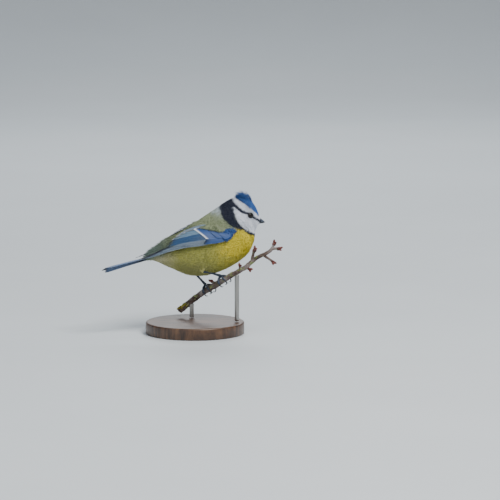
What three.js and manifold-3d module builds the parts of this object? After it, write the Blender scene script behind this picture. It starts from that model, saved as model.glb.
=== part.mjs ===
// A life-size blue tit standing on a cut length of budded twig, on a plain display stand.
// Millimetres. +Z is up and the bird faces +X, with its right side towards -Y. The origin is the centre of
// the base's underside. The body is a loft between a back line and a belly line, the wings are tiers of
// vanes laid on a curved sheet, and the legs grip the twig with four toes each.
import * as THREE from "three";
import { mergeVertices } from "three/addons/utils/BufferGeometryUtils.js";
import Module from "manifold-3d";

const wasm = await Module();
wasm.setup();

// Driving dimensions.
const GAP = 0.32; // what touching pieces keep between them
const VANE = 0.55; // thickness of a feather vane
const BODY_SIDES = 26; // corners of a section through the body
const EYE_RADIUS = 2.3;
const BASE_RADIUS = 33;
const BASE_HEIGHT = 8;
const ROD_RADIUS = 1.5;

// Stations along the bird, from the tail's root to the bill's root. back and belly are [x, z] in the
// middle plane, half is the half width, and low is how far up the widest place lies, as a share.
const STATIONS = [
  { place: "tail root", back: [-32.0, 53.9], belly: [-31.6, 50.2], half: 3.8, low: 0.5 },
  { place: "vent", back: [-26.0, 57.2], belly: [-26.4, 48.9], half: 6.9, low: 0.52 },
  { place: "rump", back: [-16.0, 63.2], belly: [-14.2, 43.6], half: 11.6, low: 0.52 },
  { place: "loin", back: [-7.6, 69.0], belly: [-2.8, 39.3], half: 14.8, low: 0.5 },
  { place: "belly", back: [1.4, 75.5], belly: [10.4, 39.3], half: 16.3, low: 0.48 },
  { place: "breast", back: [9.7, 80.8], belly: [25.0, 44.2], half: 15.7, low: 0.48 },
  { place: "shoulder", back: [16.6, 85.2], belly: [36.0, 51.8], half: 13.9, low: 0.5 },
  { place: "neck", back: [21.8, 88.6], belly: [40.5, 60.1], half: 11.5, low: 0.5 },
  { place: "nape", back: [27.1, 90.9], belly: [41.5, 65.8], half: 9.9, low: 0.48 },
  { place: "crown", back: [34.0, 91.0], belly: [42.6, 69.8], half: 8.3, low: 0.45 },
  { place: "brow", back: [39.9, 86.8], belly: [43.7, 71.8], half: 5.7, low: 0.45 },
  { place: "forehead", back: [43.2, 80.6], belly: [44.3, 72.2], half: 3.9, low: 0.48 },
  { place: "bill root", back: [44.6, 76.6], belly: [44.7, 72.6], half: 2.3, low: 0.5 },
];
const NECK_FROM = 5.9; // station where the torso ends and the neck begins
const NECK_TO = 7.2; // station where the head begins
const CUT = 0.055; // stations left open at each of those cuts, about one GAP

// Swellings and hollows on both sides of the head: place, reach and height out of the surface.
const EYE_PLACE = [36.3, 9.1, 79.3];
const FEATURES = [
  { name: "eye socket", at: EYE_PLACE, reach: 2.6, height: -0.7 },
  { name: "cheek", at: [35.6, 10.0, 73.0], reach: 4.6, height: 0.7 },
  { name: "brow ridge", at: [36.2, 8.1, 83.2], reach: 2.6, height: 0.35 },
  { name: "lore", at: [41.6, 6.2, 76.6], reach: 2.4, height: -0.6 },
];

const colours = {
  yellow: [0xb9ad3a, 0.85],
  green: [0x8d9a76, 0.85],
  white: [0xdfe4ee, 0.8],
  blue: [0x3f67a8, 0.6],
  bill: [0x3b3e47, 0.35],
  eye: [0x0c0a09, 0.08],
  leg: [0x3a4353, 0.55],
  claw: [0x23252b, 0.4],
  twig: [0x6d5f52, 0.9],
  base: [0x2f2a27, 0.5],
  rod: [0x8f8c86, 0.3],
};

const vec = (x, y, z) => new THREE.Vector3(x, y, z);
const mix = THREE.MathUtils.lerp;
const smooth = THREE.MathUtils.smoothstep;

// A value that varies smoothly along a list of named values, u counting from one to the next.
function along(values, u) {
  const last = values.length - 1;
  const curve = new THREE.CatmullRomCurve3(values.map((value, i) => vec(i, value, 0)));
  return curve.getPoint(THREE.MathUtils.clamp(u / last, 0, 1)).y;
}

// A closed body through rings of equal count, with a flat cap at each end. In a flat vane the second half
// of each ring is its underside, and is split along the same diagonals as the top.
function loft(rings, flat = false) {
  const count = rings[0].length;
  const points = rings.flat();
  const faces = [];
  for (let r = 0; r < rings.length - 1; r++) {
    for (let k = 0; k < count; k++) {
      const a = r * count + k;
      const b = r * count + ((k + 1) % count);
      const [c, d] = [b + count, a + count];
      if (flat && k >= count / 2) faces.push([a, b, d], [b, c, d]);
      else faces.push([a, b, c], [a, c, d]);
    }
  }
  const last = (rings.length - 1) * count;
  if (flat) {
    for (let k = 0; k < count / 2 - 1; k++) {
      const [a, b, c, d] = [k, k + 1, count - 2 - k, count - 1 - k];
      faces.push([a, c, b], [a, d, c], [last + a, last + b, last + c], [last + a, last + c, last + d]);
    }
  } else {
    for (const [start, turned] of [[0, true], [last, false]]) {
      const middle = points.length;
      const ring = points.slice(start, start + count);
      points.push(ring.reduce((sum, point) => sum.add(point), vec(0, 0, 0)).divideScalar(count));
      for (let k = 0; k < count; k++) {
        const [a, b] = [start + k, start + ((k + 1) % count)];
        faces.push(turned ? [middle, b, a] : [middle, a, b]);
      }
    }
  }
  const size = faces.reduce((s, [a, b, c]) => s + points[a].dot(points[b].clone().cross(points[c])), 0);
  const index = faces.flatMap(([a, b, c]) => (size > 0 ? [a, b, c] : [a, c, b]));
  return new THREE.BufferGeometry().setFromPoints(points).setIndex(index);
}

// A three.js geometry as a solid that can be cut and joined.
function solid(geometry) {
  const bare = geometry.clone();
  bare.deleteAttribute("normal");
  bare.deleteAttribute("uv");
  const merged = mergeVertices(bare, 1e-4);
  return new wasm.Manifold(
    new wasm.Mesh({
      numProp: 3,
      vertProperties: new Float32Array(merged.attributes.position.array),
      triVerts: new Uint32Array(merged.index.array),
    }),
  );
}

const join = (solids) => solids.reduce((whole, piece) => whole.add(piece));
const largest = (whole) => whole.decompose().reduce((a, b) => (a.volume() > b.volume() ? a : b));

const group = new THREE.Group();

// Adds a solid to the model as a named mesh.
function node(name, whole, colour) {
  const made = largest(whole).getMesh();
  const geometry = new THREE.BufferGeometry();
  geometry.setAttribute("position", new THREE.BufferAttribute(new Float32Array(made.vertProperties), 3));
  geometry.setIndex([...made.triVerts]);
  const [color, roughness] = colours[colour];
  const mesh = new THREE.Mesh(geometry, new THREE.MeshStandardMaterial({ color, roughness }));
  mesh.name = name;
  group.add(mesh);
}

// Turns a right-hand solid (towards -Y) into its left-hand twin.
const mirrored = (whole) => whole.mirror([0, 1, 0]);

// A round tube through points, with a radius at each.
function tube(points, radii, sides, steps) {
  const curve = new THREE.CatmullRomCurve3(points.map((p) => vec(...p)));
  const frames = curve.computeFrenetFrames(steps, false);
  const rings = [];
  for (let i = 0; i <= steps; i++) {
    const centre = curve.getPointAt(i / steps);
    const radius = along(radii, curve.getUtoTmapping(i / steps) * (radii.length - 1));
    rings.push(
      Array.from({ length: sides }, (_, k) => {
        const turn = (2 * Math.PI * k) / sides;
        return centre
          .clone()
          .addScaledVector(frames.normals[i], radius * Math.cos(turn))
          .addScaledVector(frames.binormals[i], radius * Math.sin(turn));
      }),
    );
  }
  return solid(loft(rings));
}

// The body's section at a station: its centre, the way up it, how far it reaches up and down, and its
// half width.
function bodySection(station) {
  const value = (pick) => along(STATIONS.map(pick), station);
  const back = vec(value((s) => s.back[0]), 0, value((s) => s.back[1]));
  const belly = vec(value((s) => s.belly[0]), 0, value((s) => s.belly[1]));
  const up = back.clone().sub(belly).normalize();
  const height = back.distanceTo(belly);
  const low = value((s) => s.low);
  const centre = belly.clone().addScaledVector(up, height * low);
  return { centre, up, above: height * (1 - low), below: height * low, half: value((s) => s.half) };
}

// The point of a section at a turn from its top, positive to the left, lifted off the surface by extra.
function sectionPoint({ centre, up, above, below, half }, turn, extra) {
  const rise = Math.cos(turn);
  const point = centre.clone().addScaledVector(up, rise * ((rise > 0 ? above : below) + extra));
  point.y = (half + extra) * Math.sin(turn);
  const out = point.clone().sub(centre).normalize();
  for (const { at, reach, height } of FEATURES) {
    const away = point.distanceTo(vec(at[0], at[1] * Math.sign(point.y || 1), at[2]));
    point.addScaledVector(out, height * Math.exp(-((away / reach) ** 2)));
  }
  return point;
}

function bodyRing(station, extra = 0) {
  const section = bodySection(station);
  const side = (2 * Math.PI) / BODY_SIDES;
  return Array.from({ length: BODY_SIDES }, (_, k) => sectionPoint(section, k * side, extra));
}

function bodyLength(from, to, steps, extra = 0) {
  const rings = [];
  for (let i = 0; i <= steps; i++) rings.push(bodyRing(mix(from, to, i / steps), extra));
  return solid(loft(rings));
}

// The sheet that the right wing lies on. RAIL is its lower edge, from the bend to the tip, lean is how far
// the sheet leans in from upright there, in degrees, and curl is its radius over the back.
const RAIL = [
  { at: [24.9, -13.0, 69.8], lean: 4, curl: 13 },
  { at: [17.5, -16.2, 64.0], lean: 6, curl: 15 },
  { at: [2.3, -17.3, 61.6], lean: 9, curl: 16 },
  { at: [-11.6, -14.6, 59.6], lean: 28, curl: 16 },
  { at: [-22.2, -10.6, 56.2], lean: 44, curl: 17 },
  { at: [-31.4, -7.6, 52.8], lean: 54, curl: 20 },
  { at: [-40.2, -5.3, 50.4], lean: 60, curl: 24 },
];
const rail = new THREE.CatmullRomCurve3(RAIL.map((r) => vec(...r.at)));
const WING_LENGTH = rail.getLength();

// The point of the sheet at reach mm from the bend and rise mm up from the rail, lifted off it by lift.
function wingPoint(reach, rise, lift) {
  const u = THREE.MathUtils.clamp(reach / WING_LENGTH, 0, 1);
  const start = rail.getPointAt(u);
  const forward = rail.getTangentAt(u);
  const place = rail.getUtoTmapping(u) * (RAIL.length - 1);
  const lean = THREE.MathUtils.degToRad(along(RAIL.map((r) => r.lean), place));
  const curl = along(RAIL.map((r) => r.curl), place);
  const inward = vec(0, 1, 0).addScaledVector(forward, -forward.y).normalize();
  const upward = inward.clone().cross(forward).normalize();
  if (upward.z < 0) upward.negate();
  const turn = lean + rise / curl;
  const out = upward.clone().multiplyScalar(Math.sin(turn)).addScaledVector(inward, -Math.cos(turn));
  return start
    .addScaledVector(forward, reach - u * WING_LENGTH)
    .addScaledVector(upward, curl * (Math.sin(turn) - Math.sin(lean)))
    .addScaledVector(inward, curl * (Math.cos(lean) - Math.cos(turn)))
    .addScaledVector(out, lift);
}

// A feather's half width at a share of its length: a narrow root, even sides and a rounded tip.
function vaneShape(share, tip) {
  const pastTip = Math.max(0, (share - tip) / (1 - tip));
  return (0.45 + 0.55 * smooth(share, 0, 0.3)) * Math.sqrt(Math.max(0.03, 1 - pastTip ** 2));
}

// One vane. from and to are [reach, rise], wide its width, lift how high its root and tip lie off the
// sheet, and tilt how much its lower edge stands over its upper one. at turns [reach, rise, lift] to a point.
function vane({ from, to, wide, lift, tilt = 0.4, tip = 0.75, steps = 4, at = wingPoint, thick = VANE }) {
  const span = Math.hypot(to[0] - from[0], to[1] - from[1]);
  const side = [-(to[1] - from[1]) / span, (to[0] - from[0]) / span];
  const rings = [];
  for (let i = 0; i <= steps; i++) {
    const share = i / steps;
    const half = (wide / 2) * vaneShape(share, tip);
    const height = mix(lift[0], lift[1], share);
    const top = [1, 0, -1].map((edge) => [
      mix(from[0], to[0], share) + side[0] * half * edge,
      mix(from[1], to[1], share) + side[1] * half * edge,
      height - (tilt * edge * half * 2) / wide,
    ]);
    const deep = thick * (share > 0.99 ? 0.6 : 1);
    rings.push([
      ...top.map(([x, y, z]) => at(x, y, z)),
      ...top.reverse().map(([x, y, z]) => at(x, y, z - deep)),
    ]);
  }
  return solid(loft(rings, true));
}

// Evenly spaced vanes between a first and a last one.
function tier(count, first, last, rest = {}) {
  const pair = (a, b, share) => [mix(a[0], b[0], share), mix(a[1], b[1], share)];
  return Array.from({ length: count }, (_, i) => {
    const share = count > 1 ? i / (count - 1) : 0;
    return vane({
      from: pair(first.from, last.from, share),
      to: pair(first.to, last.to, share),
      wide: mix(first.wide, last.wide, share),
      lift: pair(first.lift, last.lift, share),
      ...rest,
    });
  });
}

// The arm and its muscle under the coverts, from the bend back to the elbow.
function wingArm() {
  const rings = [];
  const steps = 8;
  for (let i = 0; i <= steps; i++) {
    const share = i / steps;
    const reach = mix(1.0, 30, share);
    const high = mix(6, 14, smooth(share, 0, 0.7)) * Math.sqrt(Math.max(0.05, 1 - (2 * share - 1) ** 8));
    const rises = [0, 0.25, 0.5, 0.75, 1].map((k) => 0.3 + k * high);
    const lift = 0.55 * Math.sqrt(Math.max(0.1, 1 - (2 * share - 1) ** 6));
    rings.push([
      ...rises.map((rise) => wingPoint(reach, rise, lift)),
      ...rises.reverse().map((rise) => wingPoint(reach, rise, -1.2)),
    ]);
  }
  return solid(loft(rings, true));
}

function rightWing() {
  const [low, high] = [[0.1, 0.35], [0.75, 1.15]];
  return [
    wingArm(),
    // Primaries: the long ones of the hand, whose edges lie close together along the rail.
    ...tier(
      5,
      { from: [12, 1.6], to: [WING_LENGTH - 0.4, 2.2], wide: 4.2, lift: low },
      { from: [14, 5.4], to: [52, 4.2], wide: 4.4, lift: [0.1, 0.6] },
    ),
    // Secondaries: the blue panel above them.
    ...tier(
      4,
      { from: [15, 5.6], to: [51.5, 5.6], wide: 4.6, lift: [0.1, 0.75] },
      { from: [17, 10.4], to: [49, 8.6], wide: 5.0, lift: [0.1, 0.9] },
    ),
    // Tertials: the broad inner feathers over the rump.
    ...tier(
      3,
      { from: [18, 10.8], to: [47.5, 9.0], wide: 4.8, lift: [0.2, 0.9] },
      { from: [20, 13.2], to: [38, 12.0], wide: 5.0, lift: [0.2, 0.9] },
      { tip: 0.6 },
    ),
    // Primary coverts and the small feathers of the thumb, along the front edge.
    ...tier(
      2,
      { from: [7, 1.3], to: [26, 1.5], wide: 2.6, lift: [0.3, 0.9] },
      { from: [9, 3.4], to: [24, 4.2], wide: 2.8, lift: [0.3, 1.0] },
      { steps: 3 },
    ),
    // Greater coverts, whose tips make the white bar.
    ...tier(
      5,
      { from: [11, 4.6], to: [24.5, 4.8], wide: 3.8, lift: [0.3, 1.3] },
      { from: [16, 12.2], to: [31.0, 12.4], wide: 4.0, lift: [0.3, 1.1] },
      { steps: 3, tip: 0.6 },
    ),
    // Median coverts.
    ...tier(
      4,
      { from: [6.5, 4.4], to: [17.2, 5.0], wide: 3.6, lift: [0.5, 1.6] },
      { from: [12, 11.6], to: [22.5, 12.0], wide: 3.8, lift: [0.4, 1.3] },
      { steps: 3, tip: 0.5 },
    ),
    // Lesser coverts over the bend.
    ...tier(
      3,
      { from: [2.5, 2.2], to: [11.5, 2.6], wide: 4.2, lift: [0.4, 1.4] },
      { from: [6, 10.2], to: [15.6, 10.8], wide: 4.2, lift: [0.4, 1.4] },
      { steps: 3, tip: 0.5 },
    ),
  ];
}

// Tail: twelve vanes from a root behind the rump, the middle pair on top and the outer ones lower and
// further out. along the tail is x, across it y and above it z.
const TAIL = { root: [-32.3, 0, 52.2], tip: [-63.2, 0, 46.2], pairs: 6 };
const tailWay = vec(...TAIL.tip).sub(vec(...TAIL.root));
const TAIL_LENGTH = tailWay.length();
tailWay.normalize();
const tailUp = vec(0, 1, 0).cross(tailWay).normalize();
if (tailUp.z < 0) tailUp.negate();

function tailPoint(reach, across, lift) {
  const sag = 0.9 * (reach / TAIL_LENGTH) ** 2; // the feathers droop a little towards their tips
  return vec(...TAIL.root)
    .addScaledVector(tailWay, reach)
    .addScaledVector(tailUp, lift - sag)
    .add(vec(0, across, 0));
}

// A tube round the tail's root, swollen by the gap that the wings keep from it.
function tailRoom() {
  const rings = [-2, 4, 9, 14].map((reach, i) =>
    Array.from({ length: 14 }, (_, k) => {
      const turn = (2 * Math.PI * k) / 14;
      return tailPoint(reach, (4.1 + 0.35 * i + GAP) * Math.cos(turn), -0.9 + (1.7 + GAP) * Math.sin(turn));
    }),
  );
  return solid(loft(rings));
}

function tail() {
  const root = [0, 0.35, 0.7, 1].map((share) => {
    const [wide, deep] = [mix(3.4, 3.9, share), mix(1.9, 0.9, share)];
    return Array.from({ length: 12 }, (_, k) => {
      const turn = (2 * Math.PI * k) / 12;
      return tailPoint(share * 9, wide * Math.cos(turn), -0.5 + deep * Math.sin(turn));
    });
  });
  const vanes = [];
  for (let pair = 0; pair < TAIL.pairs; pair++) {
    for (const side of [-1, 1]) {
      const drop = -0.36 * pair - (side > 0 ? 0.12 : 0);
      vanes.push(
        vane({
          from: [1.5, side * (0.3 + 0.15 * pair)],
          to: [TAIL_LENGTH - 1.9 + 0.45 * Math.min(pair, 4), side * (0.9 + 0.82 * pair)],
          wide: 3.7 - 0.1 * pair,
          lift: [0.1 + 0.5 * drop, 0.5 + drop],
          tilt: side * 0.15,
          tip: 0.86,
          steps: 5,
          at: tailPoint,
        }),
      );
    }
  }
  return [solid(loft(root)), ...vanes];
}

// Head: the forward end of the body's loft, with a crest of vanes, lids round the eyes and sockets.
const CREST_FROM = 10.2; // station over the forehead that the crest is measured back from
const CREST_STATION = 7.0; // millimetres of crown in a station
const crestPoint = (reach, across, lift) =>
  sectionPoint(bodySection(CREST_FROM - reach / CREST_STATION), across / EYE_PLACE[1], lift);

// Rows from the hindmost forward. from and to are [reach, across] on the left side, mirrored on the right.
const CREST_ROWS = [
  { count: 3, from: [7.5, 3.6], to: [13.8, 2.6], rise: 2.0 },
  { count: 4, from: [4.6, 4.4], to: [11.6, 4.0], rise: 1.9 },
  { count: 3, from: [1.6, 3.4], to: [7.6, 3.6], rise: 1.1 },
];

function crest() {
  return CREST_ROWS.flatMap(({ count, from, to, rise }) => {
    const outermost = (side) => ({
      from: [from[0], side * from[1]],
      to: [to[0], side * to[1]],
      wide: 2.3,
      lift: [-0.2, rise],
    });
    return tier(count, outermost(-1), outermost(1), { at: crestPoint, steps: 3, tip: 0.35, tilt: 0 });
  });
}

const EYE_OUT = vec(0.26, 0.95, 0.12).normalize(); // the way the left eye looks
const EYE_DEPTH = 1.45; // of its centre under the feathers
const eyeSurface = vec(EYE_PLACE[0], EYE_PLACE[1] - 0.45, EYE_PLACE[2]);
const eyeCentre = eyeSurface.clone().addScaledVector(EYE_OUT, -EYE_DEPTH);

function ball(radius, centre, detail = 14) {
  const round = new THREE.SphereGeometry(radius, detail, Math.round(detail * 0.6));
  return solid(round).translate(centre.toArray());
}

function lids() {
  const ring = new THREE.TorusGeometry(1.95, 0.42, 5, 14);
  ring.applyQuaternion(new THREE.Quaternion().setFromUnitVectors(vec(0, 0, 1), EYE_OUT));
  ring.translate(...eyeSurface.clone().addScaledVector(EYE_OUT, -0.1).toArray());
  return solid(ring);
}

function head() {
  const both = (one) => one.add(mirrored(one));
  const whole = join([bodyLength(NECK_TO, STATIONS.length - 1, 14), both(lids()), ...crest()]);
  return whole.subtract(both(ball(EYE_RADIUS + GAP, eyeCentre)));
}

// Bill: an upper and a lower half that meet along the line of the mouth.
const BILL = { root: 44.98, tip: 48.7, mouth: [74.0, 73.15], half: 1.75, above: 2.3, below: 1.25 };

function billHalf(above) {
  const steps = 8;
  const end = above ? BILL.tip : BILL.tip - 0.5;
  const deep = above ? BILL.above : BILL.below;
  const rings = [];
  for (let i = 0; i <= steps; i++) {
    const share = i / steps;
    const x = mix(BILL.root, end, share);
    const hook = above ? 0.25 * share ** 4 : 0; // the upper half dips at its tip
    const edge = mix(...BILL.mouth, share) + (above ? GAP / 2 : -GAP / 2) - hook;
    const taper = 1 - share ** (above ? 1.7 : 1.9);
    const half = mix(0.14, BILL.half, 1 - share ** 1.25);
    const rise = mix(0.16, deep, taper);
    // Half a round from side to side, closed by one point in the middle of the mouth.
    const round = [0, 1, 2, 3, 4, 5, 6].map((k) => {
      const turn = (Math.PI * k) / 6;
      return vec(x, half * Math.cos(turn), edge + (above ? 1 : -1) * rise * Math.sin(turn));
    });
    rings.push([...round, vec(x, 0, edge)]);
  }
  return solid(loft(rings));
}

function upperBill() {
  const nostril = ball(0.36, vec(BILL.root + 0.95, 1.42, BILL.mouth[0] + 1.25), 8);
  return billHalf(true).subtract(nostril).subtract(mirrored(nostril));
}

// Perch: the twig's middle line from the cut end to the tip, with its radius at each point.
const TWIG = [
  { at: [-5.7, 20.0, 12.4], radius: 2.1 },
  { at: [-0.7, 15.5, 17.6], radius: 2.0 },
  { at: [4.8, 10.0, 23.6], radius: 1.9 },
  { at: [9.8, 5.5, 28.0], radius: 1.9 },
  { at: [14.0, 0.5, 31.6], radius: 2.1 },
  { at: [18.2, -4.5, 35.5], radius: 1.8 },
  { at: [22.7, -8.5, 39.2], radius: 1.65 },
  { at: [28.0, -12.0, 42.9], radius: 1.55 },
  { at: [32.0, -15.0, 45.9], radius: 1.5 },
  { at: [35.3, -17.0, 49.7], radius: 1.35 },
  { at: [39.2, -19.5, 53.0], radius: 1.2 },
  { at: [42.8, -21.5, 54.8], radius: 1.2 },
  { at: [46.4, -22.6, 57.4], radius: 1.1 },
  { at: [48.0, -23.4, 60.4], radius: 1.0 },
];
const twigLine = new THREE.CatmullRomCurve3(TWIG.map((t) => vec(...t.at)));
const TWIG_LENGTH = twigLine.getLength();

const twig = (extra = 0) => tube(TWIG.map((t) => t.at), TWIG.map((t) => t.radius + extra), 9, 32);

// Spurs: where each leaves the twig, as a place in TWIG's list, its tip, its radius and its buds' count.
const SPURS = [
  { from: 4.15, tip: [11.3, -0.6, 34.7], radius: 0.95, buds: 1 },
  { from: 6.9, tip: [27.6, -12.6, 46.0], radius: 0.55, buds: 1 },
  { from: 7.6, tip: [33.6, -16.8, 44.2], radius: 0.8, buds: 2 },
  { from: 8.8, tip: [36.6, -18.0, 58.0], radius: 1.0, buds: 4 },
  { from: 10.6, tip: [47.6, -25.0, 49.6], radius: 0.85, buds: 2 },
  { from: 12.2, tip: [52.0, -24.0, 58.6], radius: 0.9, buds: 3 },
  { from: 12.9, tip: [48.4, -23.8, 62.4], radius: 0.9, buds: 3 },
];
const BUD = { length: 2.3, radius: 0.72 };

// A pointed bud from a root along a way.
function bud(root, way, size) {
  const outline = [[0, 0], [0, 0.6], [0.4, 1], [1, 0.15], [1, 0]]; // share of the length, share of the radius
  const profile = outline.map(([share, wide]) =>
    new THREE.Vector2(wide * BUD.radius * size, share * BUD.length * size),
  );
  const turned = new THREE.LatheGeometry(profile, 5);
  turned.applyQuaternion(new THREE.Quaternion().setFromUnitVectors(vec(0, 1, 0), way));
  return solid(turned.translate(...root.toArray()));
}

function spur({ from, tip, radius, buds }) {
  const root = twigLine.getPoint(from / (TWIG.length - 1));
  const end = vec(...tip);
  const way = end.clone().sub(root).normalize();
  const middle = root.clone().lerp(end, 0.5).add(vec(0, 0, 0.3 * radius));
  const radii = [1.1, 0.85, 1.0, 0.85, 1.15].map((k) => k * radius);
  const line = [root, root.clone().lerp(middle, 0.5), middle, end].map((point) => point.toArray());
  const pieces = [tube(line, radii, 6, 5)];
  const side = way.clone().cross(vec(0.3, 1, 0.2)).normalize();
  for (let i = 0; i < buds; i++) {
    const turn = 2.4 * i;
    const spread = side.clone().applyAxisAngle(way, turn);
    const open = i === 0 ? 0.25 : 0.9;
    const aside = i === 0 ? 0 : 0.35 * radius;
    const start = end.clone().addScaledVector(way, -0.5 * i * radius).addScaledVector(spread, aside);
    pieces.push(bud(start, way.clone().addScaledVector(spread, open).normalize(), 1 - 0.07 * i));
  }
  return join(pieces);
}

// Legs. Each foot stands on the twig at a place in TWIG's list, with its heel joint at ankle.
const LEGS = {
  right: { on: 5.05, ankle: [1.9, -11.0, 44.0], knee: [5.5, -10.0, 49.0] },
  left: { on: 3.1, ankle: [-1.0, 8.0, 42.6], knee: [3.0, 7.6, 48.0] },
};
// Toes: which side of the twig each wraps (1 is the far side), how far along the twig it starts and ends,
// how far round it goes in degrees, and its radius.
const TOES = [
  { name: "1", side: -1, start: -0.9, end: -2.4, wrap: 118, radius: 0.68 },
  { name: "2", side: -1, start: 0.9, end: 2.2, wrap: 112, radius: 0.58 },
  { name: "3", side: 1, start: 0.9, end: 3.9, wrap: 124, radius: 0.64 },
  { name: "4", side: 1, start: -0.5, end: 0.2, wrap: 116, radius: 0.58 },
];
const CLAW = { radius: 0.42, turn: 78, lift: 0.7 };

// A point over the twig's bark: along mm from a place on it, turned round it from the top, clear of it.
function gripPoint(on, alongTwig, turn, clear) {
  const u = THREE.MathUtils.clamp(on / (TWIG.length - 1) + alongTwig / TWIG_LENGTH, 0, 1);
  const way = twigLine.getTangent(u);
  const up = vec(0, 0, 1).addScaledVector(way, -way.z).normalize();
  const far = way.clone().cross(up).normalize();
  if (far.y < 0) far.negate();
  const radius = along(TWIG.map((t) => t.radius), u * (TWIG.length - 1)) + clear;
  const angle = THREE.MathUtils.degToRad(turn);
  return twigLine
    .getPoint(u)
    .addScaledVector(up, radius * Math.cos(angle))
    .addScaledVector(far, radius * Math.sin(angle));
}

const HUB = 1.15; // height of the toes' common root over the bark
const toePoints = (on, { side, start, end, wrap, radius }) => [
  gripPoint(on, 0, 0, GAP + HUB),
  ...[0.28, 0.52, 0.78, 1].map((share) =>
    gripPoint(on, mix(start, end, share), side * wrap * share, GAP + radius * mix(1.25, 1.05, share)),
  ),
];

function leg({ on, ankle, knee }) {
  const hub = gripPoint(on, 0, 0, GAP + HUB).toArray();
  const shank = [hub, ...[0.3, 0.65].map((k) => hub.map((h, i) => mix(h, ankle[i], k))), ankle, knee];
  const toes = TOES.map((toe) => {
    const radii = [1.35, 1.1, 0.9, 1.1, 0.85].map((k) => k * toe.radius);
    return tube(toePoints(on, toe).map((point) => point.toArray()), radii, 6, 9);
  });
  return join([tube(shank, [1.05, 0.72, 0.75, 1.15, 1.4], 8, 12), ...toes]);
}

function claw(on, { side, end, wrap, radius }) {
  const start = wrap + THREE.MathUtils.radToDeg(GAP / 2.4) + 4;
  const points = [0, 0.33, 0.66, 1].map((share) => {
    const off = GAP + radius + CLAW.lift * Math.sin(Math.PI * share * 0.8);
    return gripPoint(on, end, side * (start + CLAW.turn * share), off).toArray();
  });
  return tube(points, [1, 0.85, 0.6, 0.22].map((k) => k * CLAW.radius), 6, 5);
}

// Display stand: a round base with eased edges and two rods up to the twig.
function base() {
  const ease = 1.2;
  const profile = [
    [0, 0],
    [BASE_RADIUS - ease / 2, 0],
    [BASE_RADIUS, ease / 2],
    [BASE_RADIUS, BASE_HEIGHT - ease],
    [BASE_RADIUS - ease, BASE_HEIGHT],
    [0, BASE_HEIGHT],
  ].map(([x, y]) => new THREE.Vector2(x, y));
  return solid(new THREE.LatheGeometry(profile, 48).rotateX(Math.PI / 2));
}

const RODS = [1.35, 6.65]; // places in TWIG's list that the rods stand under

function rod(on, bark) {
  const top = twigLine.getPoint(on / (TWIG.length - 1));
  const foot = BASE_HEIGHT + GAP;
  const shaft = new THREE.CylinderGeometry(ROD_RADIUS, ROD_RADIUS, top.z - foot, 14).rotateX(Math.PI / 2);
  return solid(shaft.translate(top.x, top.y, (top.z + foot) / 2)).subtract(bark);
}

// Assembly.
const swollenBody = bodyLength(0, STATIONS.length - 1, 30, GAP);
const bark = twig(GAP);
const wing = join(rightWing()).subtract(swollenBody).subtract(tailRoom());
node("torso", bodyLength(0, NECK_FROM, 18), "yellow");
node("neck", bodyLength(NECK_FROM + CUT, NECK_TO - CUT, 4), "green");
node("head", head(), "white");
node("bill_upper", upperBill(), "bill");
node("bill_lower", billHalf(false), "bill");
const eye = ball(EYE_RADIUS, eyeCentre, 18);
node("eye_left", eye, "eye");
node("eye_right", mirrored(eye), "eye");
node("wing_right", wing, "blue");
node("wing_left", mirrored(wing), "blue");
node("tail", join(tail()), "blue");
for (const [side, place] of Object.entries(LEGS)) {
  node(`leg_${side}`, leg(place).subtract(swollenBody), "leg");
  for (const toe of TOES) node(`claw_${side}_${toe.name}`, claw(place.on, toe), "claw");
}
node("perch", join([twig(), ...SPURS.map(spur)]), "twig");
node("stand_base", base(), "base");
RODS.forEach((on, i) => node(`stand_rod_${i + 1}`, rod(on, bark), "rod"));

export default group;
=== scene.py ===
"""A life-size blue tit on a cut length of budded twig, dressed over its solid frame.

Sizes are in millimetres, as in the solids, and each mesh is made in metres. The bird faces +X, with its
right side towards -Y. Its body is drawn between a back line and a belly line at named stations, its wings
lie on a curved sheet that starts from a rail along their lower edge, and its toes wrap round the twig.
"""

import math

import bmesh
import bpy
import numpy as np
from mathutils import Matrix, Vector, noise


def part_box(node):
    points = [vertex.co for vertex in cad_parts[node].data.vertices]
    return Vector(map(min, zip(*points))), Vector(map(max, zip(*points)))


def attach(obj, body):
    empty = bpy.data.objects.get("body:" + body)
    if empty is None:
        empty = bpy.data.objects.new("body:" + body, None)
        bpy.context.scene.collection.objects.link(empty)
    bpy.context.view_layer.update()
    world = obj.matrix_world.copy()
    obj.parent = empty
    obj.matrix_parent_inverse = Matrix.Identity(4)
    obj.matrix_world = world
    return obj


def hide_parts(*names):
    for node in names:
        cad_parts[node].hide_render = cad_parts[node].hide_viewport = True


MM = 0.001
SEED = 11
rng = np.random.default_rng(SEED)

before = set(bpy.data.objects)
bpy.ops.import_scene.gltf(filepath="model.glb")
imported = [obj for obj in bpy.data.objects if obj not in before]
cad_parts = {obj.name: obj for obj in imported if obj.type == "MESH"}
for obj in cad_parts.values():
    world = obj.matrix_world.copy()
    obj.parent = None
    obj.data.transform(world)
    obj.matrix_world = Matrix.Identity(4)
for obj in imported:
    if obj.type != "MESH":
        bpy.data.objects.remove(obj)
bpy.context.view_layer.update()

# The camera's view of the bird, and how the picture lies over it.
AZIMUTH = -15.0
ELEVATION = 8.0
PICTURE_WIDTH = 335.0  # of the whole picture, at the bird
PICTURE_CENTRE = (36.85, 55.6)  # along the picture and up it from the base's centre
CAMERA_AWAY = 2500.0

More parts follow.
